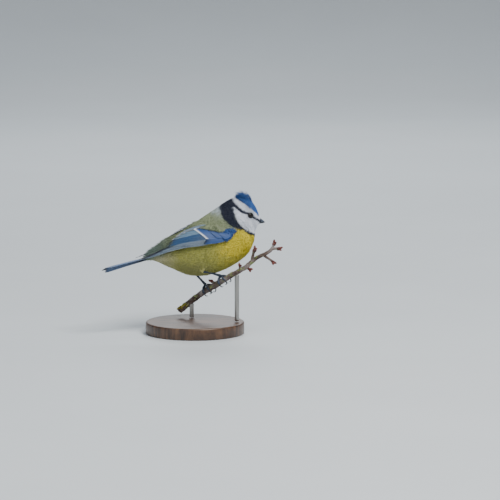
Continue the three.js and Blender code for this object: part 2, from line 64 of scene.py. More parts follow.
# Stations from the tail's root to the bill's root: back [x, z], belly [x, z], half width, and how far up
# the widest place lies.
STATIONS = (
    ("tail root", (-32.0, 53.9), (-31.6, 50.2), 3.8, 0.50),
    ("vent", (-26.0, 57.2), (-26.4, 48.9), 6.9, 0.52),
    ("rump", (-16.0, 63.2), (-14.2, 43.6), 11.6, 0.52),
    ("loin", (-7.6, 69.0), (-2.8, 39.3), 14.8, 0.50),
    ("belly", (1.4, 75.5), (10.4, 39.3), 16.3, 0.48),
    ("breast", (9.7, 80.8), (25.0, 44.2), 15.7, 0.48),
    ("shoulder", (16.6, 85.2), (36.0, 51.8), 13.9, 0.50),
    ("neck", (21.8, 88.6), (40.5, 60.1), 11.5, 0.50),
    ("nape", (27.1, 90.9), (41.5, 65.8), 9.9, 0.48),
    ("crown", (34.0, 91.0), (42.6, 69.8), 8.3, 0.45),
    ("brow", (39.9, 86.8), (43.7, 71.8), 5.7, 0.45),
    ("forehead", (43.2, 80.6), (44.3, 72.2), 3.9, 0.48),
    ("bill root", (44.6, 76.6), (44.7, 72.6), 2.3, 0.50),
)
LAST_STATION = len(STATIONS) - 1
EYE_PLACE = (36.3, 9.1, 79.3)
# Swellings and hollows of the head: place, how wide and how high.
FEATURES = (
    ("eye socket", EYE_PLACE, 2.6, -0.7),
    ("cheek", (35.6, 10.0, 73.0), 4.6, 0.7),
    ("brow ridge", (36.2, 8.1, 83.2), 2.6, 0.35),
    ("lore", (41.6, 6.2, 76.6), 2.4, -0.6),
)
EYE_RADIUS = 2.3
EYE_OUT = (0.26, 0.95, 0.12)
EYE_DEPTH = 1.45
LID_RADIUS = 1.72
LID_THICKNESS = 0.26
SKIN_DEPTH = 0.9  # of the skin under the feathers' surface, less on the face
# Painted shade: the skin between the tufts carries the feathers' colour, darkened.
SKIN_PAINTED_SHADE = 0.75  # of the feathers' colour, on the skin between them

# The wing's rail: its place, how far the sheet leans in there in degrees, and its radius over the back.
RAIL = (
    ((24.9, -13.0, 69.8), 4, 13),
    ((17.5, -16.2, 64.0), 6, 15),
    ((2.3, -17.3, 61.6), 9, 16),
    ((-11.6, -14.6, 59.6), 28, 16),
    ((-22.2, -10.6, 56.2), 44, 17),
    ((-31.4, -7.6, 52.8), 54, 20),
    ((-40.2, -5.3, 50.4), 60, 24),
)
RAIL_STEPS = 500
RAIL_SOFTENING = 75  # steps either side that the rail's direction is averaged over
TAIL_ROOT = (-32.3, 0.0, 52.2)
TAIL_TIP = (-63.2, 0.0, 46.2)

# The twig's middle line from its cut end to its tip, with its radius at each point.
TWIG = (
    ((-5.7, 20.0, 12.4), 2.1),
    ((-0.7, 15.5, 17.6), 2.0),
    ((4.8, 10.0, 23.6), 1.9),
    ((9.8, 5.5, 28.0), 1.9),
    ((14.0, 0.5, 31.6), 2.1),
    ((18.2, -4.5, 35.5), 1.8),
    ((22.7, -8.5, 39.2), 1.65),
    ((28.0, -12.0, 42.9), 1.55),
    ((32.0, -15.0, 45.9), 1.5),
    ((35.3, -17.0, 49.7), 1.35),
    ((39.2, -19.5, 53.0), 1.2),
    ((42.8, -21.5, 54.8), 1.2),
    ((46.4, -22.6, 57.4), 1.1),
    ((48.0, -23.4, 60.4), 1.0),
)
# Spurs: where each leaves the twig, its tip, its radius and its buds.
SPURS = (
    (4.15, (11.3, -0.6, 34.7), 0.95, 1),
    (6.9, (27.6, -12.6, 46.0), 0.55, 1),
    (7.6, (33.6, -16.8, 44.2), 0.8, 2),
    (8.8, (36.6, -18.0, 58.0), 1.0, 4),
    (10.6, (47.6, -25.0, 49.6), 0.85, 2),
    (12.2, (52.0, -24.0, 58.6), 0.9, 3),
    (12.9, (48.4, -23.8, 62.4), 0.9, 3),
)
BUD_LENGTH = 2.3
BUD_RADIUS = 0.72
# Knots and old bud scars: place on the twig, degrees round it and size.
KNOTS = (
    (0.7, 60, 1.0),
    (1.6, -50, 0.9),
    (2.3, -110, 1.1),
    (3.6, -60, 0.9),
    (4.2, -95, 1.0),
    (5.8, -90, 0.8),
    (6.4, 40, 0.7),
    (7.4, -100, 0.7),
    (8.4, -20, 0.7),
    (9.3, 70, 0.6),
    (10.2, -60, 0.6),
    (11.4, 20, 0.55),
)
# Clumps of lichen: place on the twig, degrees round it, how many lumps and how far they spread.
LICHENS = (
    (0.45, -40, 40, 1.5),
    (0.9, -100, 16, 1.0),
    (1.9, -60, 14, 0.9),
    (2.6, 20, 12, 0.8),
    (3.7, -80, 12, 0.7),
    (4.3, 30, 14, 0.9),
    (6.1, 10, 10, 0.7),
    (7.2, -60, 10, 0.7),
    (8.3, 15, 8, 0.5),
    (9.6, -70, 8, 0.5),
)

# Legs: the place on the twig that each foot holds, its heel joint and its knee.
LEGS = {
    "right": (5.05, (1.9, -11.0, 44.0), (5.5, -10.0, 49.0)),
    "left": (3.1, (-1.0, 8.0, 42.6), (3.0, 7.6, 48.0)),
}
# Toes: the side of the twig, start and end along it, degrees round it and radius.
TOES = (
    ("1", -1, -0.9, -2.4, 118, 0.68),
    ("2", -1, 0.9, 2.2, 112, 0.58),
    ("3", 1, 0.9, 3.9, 124, 0.64),
    ("4", 1, -0.5, 0.2, 116, 0.58),
)
CLAW_RADIUS = 0.42
CLAW_TURN = 78  # degrees round the twig that a claw spans
GRIP = 0.32  # gap between the bark and what stands on it
HUB = 1.15  # height over that gap where the toes meet

BASE_RADIUS = 33.0
BASE_HEIGHT = 8.0
BASE_EASE = 1.2  # radius of its upper edge
ROD_RADIUS = 1.5
ROD_TOPS = (18.0, 40.4)

# The studio, in metres: half the floor's width, where it starts and where it begins to sweep up, the sweep's
# radius, the wall's height, what the lights point at and how far the camera sees.
FLOOR_SIDE = 6.0
FLOOR_START = -4.0
FLOOR_END = 1.4
SWEEP = 0.9
WALL_HEIGHT = 4.0
LIT_PLACE = (0, 0, 0.06)
FARTHEST = 50.0
SENSOR = 36.0  # width of the camera's sensor, in millimetres


def linear(code):
    """A colour code such as "c8b43a" as three linear values."""
    parts = [int(code[i : i + 2], 16) / 255 for i in (0, 2, 4)]
    return tuple(((p + 0.055) / 1.055) ** 2.4 if p > 0.04 else p / 12.92 for p in parts)


COLOUR_CODES = {
    "cap": "3864a8",
    "cap dark": "1b2f5c",
    "white": "e3e8f2",
    "navy": "101a30",
    "nape": "b9c4cc",
    "mantle": "8c9673",
    "rump": "84978a",
    "yellow": "d8c42e",
    # The flank and belly colours are partly the underside's own olive and partly painted shade, darker than
    # the real feathers.
    "flank": "9a994a",
    "belly": "a5a266",
    "vent": "bdb88f",
    "covert": "244b86",
    "covert dark": "10203c",
    "quill blue": "2b527c",
    "quill slate": "40566f",
    "quill pale": "a9b9c5",
    "quill dark": "1a1f27",
    "quill under": "6f7981",
    "tertial": "547691",
    "tertial inner": "36434e",
    "bar": "eef1f5",
    "tail blue": "386aa6",
    "tail dark": "1c222d",
}
COLOURS = {name: linear(code) for name, code in COLOUR_CODES.items()}


# Curves and sheets.
EASING = 0.22  # how far either side a value is averaged, in stations


def spline(points, u):
    """Points on a centripetal spline through rows of points, where u counts from one row to the next."""
    points = np.asarray(points, float)
    rows = np.vstack([2 * points[0] - points[1], points, 2 * points[-1] - points[-2]])
    last = len(points) - 1
    u = np.clip(np.asarray(u, float), 0, last)
    first = np.minimum(u.astype(int), last - 1)
    share = (u - first)[..., None]
    a, b, c, d = (rows[first + k] for k in range(4))
    steps = [np.sqrt(np.linalg.norm(q - p, axis=-1))[..., None] for p, q in ((a, b), (b, c), (c, d))]
    before, here, after = (np.maximum(step, 1e-3) for step in steps)
    leave = ((b - a) / before - (c - a) / (before + here) + (c - b) / here) * here
    arrive = ((c - b) / here - (d - b) / (here + after) + (d - c) / after) * here
    cubic = 2 * b - 2 * c + leave + arrive
    square = -3 * b + 3 * c - 2 * leave - arrive
    return b + share * (leave + share * (square + share * cubic))


def along(values, u):
    """A value that varies smoothly along a list of values, without a crease at any of them."""
    values = np.asarray(values, float)
    padded = np.concatenate([[2 * values[0] - values[1]], values, [2 * values[-1] - values[-2]]])
    last = len(values) - 1
    total = 0
    for shift, weight in ((-EASING, 0.25), (0, 0.5), (EASING, 0.25)):
        here = np.clip(np.asarray(u, float) + shift, 0, last)
        first = np.minimum(here.astype(int), last - 1)
        share = here - first
        a, b, c, d = (padded[first + k] for k in range(4))
        cubic = 3 * (b - c) + d - a
        square = 2 * a - 5 * b + 4 * c - d
        curve = b + 0.5 * share * (c - a + share * (square + share * cubic))
        total = total + weight * curve
    return total


def unit(vectors):
    vectors = np.asarray(vectors, float)
    return vectors / np.maximum(np.linalg.norm(vectors, axis=-1, keepdims=True), 1e-9)


def smooth(value, low, high):
    share = np.clip((value - low) / (high - low), 0, 1)
    return share * share * (3 - 2 * share)


def blend(a, b, share):
    return np.asarray(a) * (1 - share) + np.asarray(b) * share


def body_point(station, turn, extra=0.0):
    """The feathers' surface at a station and a turn from its top, lifted by extra."""
    station, turn = np.broadcast_arrays(np.asarray(station, float), np.asarray(turn, float))
    back, belly = ([along([s[k][i] for s in STATIONS], station) for i in (0, 1)] for k in (1, 2))
    half = along([s[3] for s in STATIONS], station)
    low = along([s[4] for s in STATIONS], station)
    nothing = np.zeros_like(station)
    back = np.stack([back[0], nothing, back[1]], -1)
    belly = np.stack([belly[0], nothing, belly[1]], -1)
    up = unit(back - belly)
    height = np.linalg.norm(back - belly, axis=-1)
    centre = belly + up * (height * low)[..., None]
    rise = np.cos(turn)
    reach = np.where(rise > 0, height * (1 - low), height * low) + extra
    point = centre + up * (rise * reach)[..., None]
    point[..., 1] = (half + extra) * np.sin(turn)
    out = unit(point - centre)
    side = np.where(point[..., 1] < 0, -1.0, 1.0)
    for _, at, wide, high in FEATURES:
        place = np.stack([nothing + at[0], side * at[1], nothing + at[2]], -1)
        away = np.linalg.norm(point - place, axis=-1)
        point = point + out * (high * np.exp(-((away / wide) ** 2)))[..., None]
    return point


def body_lie(station, turn, extra=0.0):
    """Point, way towards the tail and outward normal of the feathers' surface."""
    point = body_point(station, turn, extra)
    back = unit(body_point(station - 0.04, turn, extra) - body_point(station + 0.04, turn, extra))
    round_ = body_point(station, turn + 0.03, extra) - body_point(station, turn - 0.03, extra)
    normal = unit(np.cross(back, round_))
    middle = body_point(station, 0, extra) * 0.5 + body_point(station, math.pi, extra) * 0.5
    normal *= np.where(np.sum(normal * (point - middle), -1) < 0, -1.0, 1.0)[..., None]
    return point, back, normal


def running(line):
    """How far along a line of points each of them lies."""
    return np.concatenate([[0], np.cumsum(np.linalg.norm(np.diff(line, axis=0), axis=1))])


def softened(rows, reach):
    """Rows averaged over their neighbours, so that a bend is shared out along them."""
    kernel = np.hanning(2 * reach + 1)
    padded = np.pad(rows, ((reach, reach), (0, 0)), mode="edge")
    return np.stack([np.convolve(column, kernel / kernel.sum(), mode="valid") for column in padded.T], -1)


class Wing:
    """The curved sheet that the right wing's feathers lie on."""

    places = np.linspace(0, len(RAIL) - 1, RAIL_STEPS)
    line = spline([r[0] for r in RAIL], places)
    run = running(line)
    length = run[-1]
    ways = unit(softened(unit(np.gradient(line, axis=0)), RAIL_SOFTENING))
    leans = np.radians(along([r[1] for r in RAIL], places))
    curls = along([r[2] for r in RAIL], places)

    @classmethod
    def at(cls, reach, rise, lift):
        """The point at reach from the bend along the rail, rise up the sheet and lift off it."""
        reach, rise, lift = np.broadcast_arrays(*(np.asarray(v, float) for v in (reach, rise, lift)))
        here = np.clip(reach, 0, cls.length)
        pick = lambda column: np.interp(here, cls.run, column)
        start, way = (np.stack([pick(rows[:, i]) for i in range(3)], -1) for rows in (cls.line, cls.ways))
        lean, curl = pick(cls.leans), pick(cls.curls)
        way = unit(way)
        inward = unit(np.array([0, 1.0, 0]) - way * way[..., 1:2])
        upward = np.cross(inward, way)
        upward = unit(upward * np.where(upward[..., 2:] < 0, -1.0, 1.0))
        turn = lean + rise / curl
        sine, cosine = np.sin(turn), np.cos(turn)
        out = upward * sine[..., None] - inward * cosine[..., None]
        return (
            start
            + way * (reach - here)[..., None]
            + upward * (curl * (sine - np.sin(lean)))[..., None]
            + inward * (curl * (np.cos(lean) - cosine))[..., None]
            + out * lift[..., None]
        )


TAIL_WAY = unit(np.subtract(TAIL_TIP, TAIL_ROOT))
TAIL_LENGTH = float(np.linalg.norm(np.subtract(TAIL_TIP, TAIL_ROOT)))
TAIL_UP = np.cross(TAIL_WAY, (0, 1, 0))
TAIL_UP = TAIL_UP * np.sign(TAIL_UP[2])


def tail_point(reach, across, lift):
    reach, across, lift = np.broadcast_arrays(*(np.asarray(v, float) for v in (reach, across, lift)))
    sag = 0.9 * (reach / TAIL_LENGTH) ** 2
    point = np.asarray(TAIL_ROOT) + reach[..., None] * TAIL_WAY + (lift - sag)[..., None] * TAIL_UP
    point[..., 1] += across
    return point


TWIG_POINTS = [point for point, _ in TWIG]
TWIG_RADII = [radius for _, radius in TWIG]
TWIG_LINE = spline(TWIG_POINTS, np.linspace(0, len(TWIG) - 1, 600))
TWIG_LENGTH = float(np.linalg.norm(np.diff(TWIG_LINE, axis=0), axis=1).sum())


def grip_point(on, further, turn, clear):
    """A point over the bark: further along from a place on the twig, turned round it, clear of it."""
    last = len(TWIG) - 1
    u = np.clip(on + further / TWIG_LENGTH * last, 0, last)
    way = unit(spline(TWIG_POINTS, u + 0.01) - spline(TWIG_POINTS, u - 0.01))
    up = unit(np.array([0, 0, 1.0]) - way * way[2])
    far = np.cross(way, up)
    far = far * (1 if far[1] > 0 else -1)
    radius = along(TWIG_RADII, u) + clear
    angle = math.radians(turn)
    return spline(TWIG_POINTS, u) + up * radius * math.cos(angle) + far * radius * math.sin(angle)


# Markings. A place on the bird is read in the side view: along it and up it.
VIEW_TURN = math.radians(AZIMUTH)
VIEW_TILT = math.radians(ELEVATION)
SINE_TILT = math.sin(VIEW_TILT)
VIEW = np.array(
    [
        [math.cos(VIEW_TURN), math.sin(VIEW_TURN), 0],
        [-SINE_TILT * math.sin(VIEW_TURN), SINE_TILT * math.cos(VIEW_TURN), math.cos(VIEW_TILT)],
    ]
)
CAP_EDGE = (
    (20, 95.5), (25, 93), (27.4, 90.6), (30.2, 88.2), (33.8, 85.8), (37.3, 83.2), (40.1, 80.6), (42, 78.6),
)
EYE_STRIPE = (
    (22.5, 88.2), (25.5, 86.4), (28.8, 83.3), (31.6, 81.0), (37.2, 78.8), (41.9, 75.6), (44.5, 74.3),
)
COLLAR_BACK = ((20.4, 92), (18.0, 88.0), (16.4, 84.1), (17.0, 80.0), (19.2, 75.8), (22.8, 72.2), (28.1, 69.8))
COLLAR_FRONT = ((25.4, 92), (26.0, 86.6), (26.2, 82.4), (26.8, 78.6), (28.4, 75.0), (30.6, 72.0), (33, 69.6))
CHEEK_LINE = ((28.0, 71.4), (31.0, 70.0), (35.2, 67.6), (39.4, 65.6), (42.5, 65.0))
FLANK_EDGE = ((-36, 47), (-20, 53.5), (0, 61.5), (15, 66), (27, 69.6), (33, 71.5), (50, 74))


def near_side(points):
    """The points, with those of the left side mirrored to the right."""
    return points * [1, 0, 1] + np.abs(points[:, 1:2]) * [0, -1, 0]


def side_view(points):
    """Each point's place along and up the side view, the two sides of the bird alike."""
    return near_side(points) @ VIEW.T


def off_line(places, line):
    """Distance of each place from a line of points."""
    best = np.full(len(places), 1e9)
    for a, b in zip(line, line[1:]):
        a, b = np.array(a, float), np.array(b, float)
        share = np.clip(((places - a) @ (b - a)) / ((b - a) @ (b - a)), 0, 1)
        best = np.minimum(best, np.linalg.norm(places - a - share[:, None] * (b - a), axis=1))
    return best


def above(places, line):
    """How far each place lies above a line that runs from left to right."""
    line = np.array(line, float)
    return places[:, 1] - np.interp(places[:, 0], line[:, 0], line[:, 1])


def ahead(places, line):
    """How far each place lies ahead of a line that runs from top to bottom."""
    line = np.array(line, float)[::-1]
    return places[:, 0] - np.interp(places[:, 1], line[:, 1], line[:, 0])


def plumage(points):
    """The colour of the feathers at points on the body, head and neck."""
    places = side_view(points)
    u, v = places.T
    width = np.abs(points[:, 1])
    wobble = np.array([noise.noise(Vector(p) * 0.45) for p in points])
    fine = np.array([noise.noise(Vector(p) * 1.6) for p in points])

    def paint(base, name, mask):
        return blend(base, COLOURS[name], np.clip(mask, 0, 1)[:, None])

    colour = np.tile(COLOURS["mantle"], (len(points), 1))
    colour = paint(colour, "rump", 1 - smooth(u, -26, -10))
    colour = paint(colour, "nape", smooth(u + wobble * 3, 8, 16) * smooth(v + wobble * 2, 75, 83) * 0.9)
    flank = 1 - smooth(above(places, FLANK_EDGE) + wobble * 1.2, -1.2, 1.2)
    under = np.tile(COLOURS["flank"], (len(points), 1))
    # Painted shade: towards the bottom of the body the yellow gives way to the darker flank and belly
    # colours, partly the real olive of the underside and partly painted shade below.
    bright = 0.25 + 0.75 * smooth(v + wobble * 5, 43, 58)
    under = paint(under, "yellow", smooth(u + wobble * 5, 8, 27) * bright)
    under = paint(under, "belly", (1 - smooth(v + wobble * 3, 40, 50)) * (1 - smooth(u, 4, 18)) * 0.8)
    under = paint(under, "vent", 1 - smooth(u + wobble * 3, -24, -8))
    colour = blend(colour, under, flank[:, None])

    on_head = ahead(places, COLLAR_FRONT) + fine * 0.3
    face = smooth(on_head, -0.5, 0.5) * smooth(above(places, CHEEK_LINE), -0.2, 0.4)
    colour = paint(colour, "white", face)
    cap = smooth(above(places, CAP_EDGE) + fine * 0.5, -0.3, 0.5) * smooth(u, 22.5, 25.5)
    colour = paint(colour, "white", smooth(on_head, -6.5, -2) * smooth(v, 88.8, 90.3) * (1 - cap))
    colour = paint(colour, "cap", cap)
    rim = 1 - smooth(above(places, CAP_EDGE), 0.2, 1.8)
    colour = paint(colour, "cap dark", cap * rim * (1 - smooth(u, 30, 38)) * 0.7)
    colour = paint(colour, "cap dark", cap * smooth(fine, 0.1, 0.4) * 0.5)
    collar = smooth(ahead(places, COLLAR_BACK) + fine * 0.8, -0.4, 0.8) * (1 - smooth(on_head, -0.6, 0.4))
    colour = paint(colour, "navy", collar * smooth(v, 68.2, 69.6) * (1 - smooth(v, 90.4, 91.6)))
    line = off_line(places, CHEEK_LINE) + fine * 0.25
    colour = paint(colour, "navy", (1 - smooth(line, 0.55, 1.15)) * smooth(u, 26, 29))
    bib = smooth(v, 64.8, 66) * (1 - smooth(width + fine * 0.4, 1.3, 2.1)) * (1 - smooth(v, 73.5, 74.5))
    colour = paint(colour, "navy", bib * smooth(u, 37, 39))
    stripe = off_line(places, EYE_STRIPE) + fine * 0.2 + 0.35 * smooth(u, 37, 42)
    return paint(colour, "navy", (1 - smooth(stripe, 0.85, 1.4)) * smooth(u, 22, 24))


# Making meshes.
def as_mesh(name, bm):
    """A smooth mesh from a bmesh, which is freed."""
    mesh = bpy.data.meshes.new(name)
    bm.to_mesh(mesh)
    bm.free()
    for face in mesh.polygons:
        face.use_smooth = True
    return mesh


def added(name, data):
    """A new object in the scene."""
    made = bpy.data.objects.new(name, data)
    bpy.context.scene.collection.objects.link(made)
    return made


def dress(name, mesh, finish, replaced=()):
    """Adds a mesh as a piece with its finish, and hides the nodes of the solids that it stands for."""
    made = added(name, mesh)
    mesh.materials.append(finish)
    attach(made, "root")
    if replaced:
        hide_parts(*replaced)
    return made


def piece(name, bm, finish, replaced=()):
    """Turns a bmesh in millimetres into a piece of the bird."""
    bmesh.ops.scale(bm, vec=(MM, MM, MM), verts=bm.verts)
    return dress(name, as_mesh(name, bm), finish, replaced)


def drawn(rings, sides, place):
    """A closed form drawn from a ball: place turns shares from pole to pole, and turns, into points."""
    bm = bmesh.new()
    bmesh.ops.create_uvsphere(bm, u_segments=sides, v_segments=rings, radius=1)
    at = np.array([v.co for v in bm.verts])
    share = np.arccos(np.clip(-at[:, 2], -1, 1)) / math.pi
    turn = np.arctan2(at[:, 1], at[:, 0])
    for vert, point in zip(bm.verts, place(share, turn)):
        vert.co = point
    if bm.calc_volume(signed=True) < 0:
        bmesh.ops.reverse_faces(bm, faces=bm.faces)
    return bm


def merged(parts):
    """Several bmeshes as one."""
    whole = bmesh.new()
    for part in parts:
        mesh = as_mesh("part", part)
        whole.from_mesh(mesh)
        bpy.data.meshes.remove(mesh)
    return whole


def closing(share, ends):
    """One along a form's length, falling to nothing in a round end at each pole."""
    near = np.minimum(share / ends[0], (1 - share) / ends[1])
    return np.sqrt(np.clip(1 - (1 - np.clip(near, 0, 1)) ** 2, 0, 1))


LIMB_STEPS = 240


def limb(points, radii, sides=16, rings=40, ends=(0.03, 0.03), shape=None):
    """A round form along points, with a radius at each. shape may change the radius by share and turn."""
    table = spline(points, np.linspace(0, len(points) - 1, LIMB_STEPS))
    run = running(table)
    ways = unit(np.gradient(table, axis=0))
    sidewards = [unit(np.cross(ways[0], (0.21, 0.13, 0.97)))]
    for way in ways[1:]:
        sidewards.append(unit(sidewards[-1] - way * (sidewards[-1] @ way)))
    sidewards = np.array(sidewards)
    upwards = np.cross(ways, sidewards)
    sizes = along(radii, np.linspace(0, len(radii) - 1, LIMB_STEPS))

    def place(share, turn):
        here = share * run[-1]
        pick = lambda rows: np.stack([np.interp(here, run, rows[:, i]) for i in range(3)], -1)
        radius = np.interp(here, run, sizes) * closing(share, ends)
        if shape:
            radius = radius * shape(share, turn)
        aside = (radius * np.cos(turn))[:, None]
        aloft = (radius * np.sin(turn))[:, None]
        return pick(table) + pick(sidewards) * aside + pick(upwards) * aloft

    return drawn(rings, sides, place)


def tint_points(mesh, colours):
    """Stores a colour per point, which the feather finishes read."""
    shade = mesh.color_attributes.new("plumage", "FLOAT_COLOR", "POINT")
    opaque = np.column_stack([colours, np.ones(len(colours))])
    shade.data.foreach_set("color", opaque.astype(np.float32).ravel())


def from_arrays(name, points, faces, colours, patches):
    """A mesh from arrays: faces of three or four corners, a colour and a place on the unwrap per point."""
    mesh = bpy.data.meshes.new(name)
    count = sum(block.size for block in faces)
    mesh.vertices.add(len(points))
    mesh.vertices.foreach_set("co", (points * MM).astype(np.float32).ravel())
    mesh.loops.add(count)
    corners = np.concatenate([block.ravel() for block in faces]).astype(np.int32)
    mesh.loops.foreach_set("vertex_index", corners)
    sizes = np.concatenate([np.full(len(block), block.shape[1]) for block in faces])
    mesh.polygons.add(len(sizes))
    mesh.polygons.foreach_set("loop_start", np.concatenate([[0], np.cumsum(sizes)[:-1]]).astype(np.int32))
    mesh.polygons.foreach_set("use_smooth", np.ones(len(sizes), bool))
    mesh.update(calc_edges=True)
    layer = mesh.uv_layers.new(name="OFBake")
    layer.data.foreach_set("uv", patches[corners].astype(np.float32).ravel())
    tint_points(mesh, np.clip(colours, 0, 1))
    mesh.validate()
    return mesh


# A tuft's locks: how far they fan out, and each one's painted shade and patch at its seven points, root to
# tip: darker at the root where the tufts overlap, a little lighter along the ridge and lightest at the tip.
LOCK_FAN = 0.24
LOCK_PAINTED_SHADE = np.array([0.74, 0.74, 0.74, 0.96, 1.0, 0.96, 1.1])
LOCK_PATCH = 0.0014 * np.array([[-1, -1], [0, -1], [1, -1], [-1, 0.2], [0, 0.2], [1, 0.2], [0, 1]])


def locks(name, root, way, normal, length, width, lift, bend, colours, patches, strands=3):
    """Tufts of pointed locks. Each lock leaves its root on the skin, rises and lies along the body.
    Length, width, lift and bend are given per tuft, or as one number for all of them."""
    count = len(root)
    length, width, lift, bend = (np.broadcast_to(value, count) for value in (length, width, lift, bend))
    index = np.repeat(np.arange(count), strands)
    fan = np.tile(np.linspace(-1, 1, strands) if strands > 1 else [0.0], count)
    total = len(index)
    side = np.cross(normal, way)
    angle = fan * LOCK_FAN + rng.normal(0, 0.09, total)
    way_, side_ = way[index], side[index]
    ahead_ = way_ * np.cos(angle)[:, None] + side_ * np.sin(angle)[:, None]
    across = side_ * np.cos(angle)[:, None] - way_ * np.sin(angle)[:, None]
    up = normal[index]
    long = (length[index] * rng.uniform(0.8, 1.12, total))[:, None]
    wide = (width[index] * rng.uniform(0.8, 1.15, total))[:, None]
    rise = (lift[index] + rng.normal(0, 0.035, total))[:, None]
    start = root[index] + across * fan[:, None] * wide * 0.55
    rows = []
    for share, thick in ((0.0, 0.6), (0.5, 1.0), (1.0, 0.0)):
        high = long * rise * share * (1.25 - 0.25 * share) - (long * share) ** 2 / (2 * bend[index][:, None])
        middle = start + ahead_ * long * share + up * high
        half = across * wide * thick / 2
        ridge = middle + up * wide * 0.3 * thick
        rows += [middle - half, ridge, middle + half] if thick else [middle]
    points = np.stack(rows, 1).reshape(-1, 3)
    base = (np.arange(total) * len(rows))[:, None]
    quads = [base + [b, a, a + 3, b + 3] for a, b in ((0, 1), (1, 2), (2, 0))]
    tips = [base + [b + 3, a + 3, 6] for a, b in ((0, 1), (1, 2), (2, 0))]
    caps = [base + [0, 1, 2]]
    faces = [np.concatenate(quads), np.concatenate(tips + caps)]
    tone = (1 + rng.normal(0, 0.07, total))[:, None, None]
    # Painted shade and light: each lock is darkened at its root and lightened towards its tip.
    shade = colours[index][:, None, :] * tone * LOCK_PAINTED_SHADE[None, :, None]
    spot = patches[index][:, None, :] + LOCK_PATCH[None]
    return from_arrays(name, points, faces, shade.reshape(-1, 3), spot.reshape(-1, 2))


# Places across a feather where its vane is drawn, from the outer edge to the inner one.
VANE_EDGES = np.array([-1, -0.94, -0.86, -0.76, -0.66, -0.5, -0.22, -0.1, 0.02, 0.5, 1.0])


def vanes(name, sheet, feathers, mirror=False, rows=15):
    """Fine flight feathers on a sheet, each a thin closed vane with a shaft and two webs."""
    cols = len(VANE_EDGES)
    share = np.linspace(0, 1, rows)
    blocks, tints, spots = [], [], []
    cells = math.ceil(math.sqrt(len(feathers)))
    for number, feather in enumerate(feathers):
        start, end = np.array(feather["from"], float), np.array(feather["to"], float)
        span = np.linalg.norm(end - start)
        side = np.array([-(end - start)[1], (end - start)[0]]) / span
        tip = feather.get("tip", 0.75)
        body = 0.45 + 0.55 * smooth(share, 0, 0.3)
        round_ = np.sqrt(np.clip(1 - np.maximum(0, (share - tip) / (1 - tip)) ** 2, 0.004, 1))
        half = feather["wide"] / 2 * body * round_
        nick = 1 + 0.02 * rng.normal(size=(rows, cols)) * (np.abs(VANE_EDGES) > 0.7)
        s, e = share[:, None], VANE_EDGES[None, :]
        offset = half[:, None] * e * nick
        reach = start[0] + (end - start)[0] * s + side[0] * offset
        rise = start[1] + (end - start)[1] * s + side[1] * offset
        lift = feather["lift"][0] + (feather["lift"][1] - feather["lift"][0]) * s
        lift = lift - feather.get("tilt", 0.4) * e * (half[:, None] * 2 / feather["wide"])
        camber = -0.1 * e**2 + 0.07 * np.exp(-(((e + 0.1) / 0.08) ** 2))
        top = sheet(reach, rise, lift + camber)
        thin = 0.05 + 0.13 * (1 - e**2) * (1 - s * 0.6)
        under = sheet(reach, rise, lift + camber - thin)
        blocks.append(np.stack([top, under]))
        tint = feather["paint"](np.broadcast_to(s, lift.shape), np.broadcast_to(e, lift.shape))
        tints.append(np.stack([tint, blend(tint * 0.5, COLOURS["quill under"], 0.8)]))
        cell = np.array([number % cells, number // cells]) / cells
        place = np.stack(np.broadcast_arrays((e + 1) / 4 * 0.9, s * 0.9), -1)
        spots.append(np.stack([cell + (0.03 + place) / cells, cell + ([0.5, 0] + place + 0.02) / cells]))
    points = np.array(blocks)
    if mirror:
        points = points * [1, -1, 1]
    per = 2 * rows * cols
    grid = np.arange(rows * cols).reshape(rows, cols)
    top = np.stack([grid[:-1, :-1], grid[:-1, 1:], grid[1:, 1:], grid[1:, :-1]], -1).reshape(-1, 4)
    under = top[:, ::-1] + rows * cols
    rim = np.concatenate([grid[0, :], grid[1:, -1], grid[-1, -2::-1], grid[-2:0:-1, 0]])
    after = np.roll(rim, -1)
    wall = np.stack([after, rim, rim + rows * cols, after + rows * cols], -1)
    one = np.concatenate([top, under, wall])
    if mirror:
        one = one[:, ::-1]
    faces = (one[None] + (np.arange(len(feathers)) * per)[:, None, None]).reshape(-1, 4)
    tints, spots = np.array(tints).reshape(-1, 3), np.array(spots).reshape(-1, 2)
    return from_arrays(name, points.reshape(-1, 3), [faces], tints, spots)


def tier(count, first, last, **rest):
    """Feathers evenly spaced between a first and a last one, each given as from, to, wide and lift."""
    ends = list(zip(("from", "to", "wide", "lift"), first, last))
    shares = np.linspace(0, 1, count)
    return [{key: blend(a, b, share) for key, a, b in ends} | rest for share in shares]


# Materials.
class Wire:
    """A socket of a finish. Arithmetic on it adds Math nodes."""

    def __init__(self, finish, socket):
        self.finish = finish
        self.socket = socket

    def math(self, operation, *others):
        inputs = {i: value for i, value in enumerate((self, *others))}
        return self.finish.node("ShaderNodeMath", {"operation": operation}, inputs)

    def __add__(self, other):
        return self.math("ADD", other)

    def __sub__(self, other):
        return self.math("SUBTRACT", other)

    def __mul__(self, other):
        return self.math("MULTIPLY", other)

    def __rsub__(self, other):
        return (self * -1.0) + other

    __radd__ = __add__
    __rmul__ = __mul__


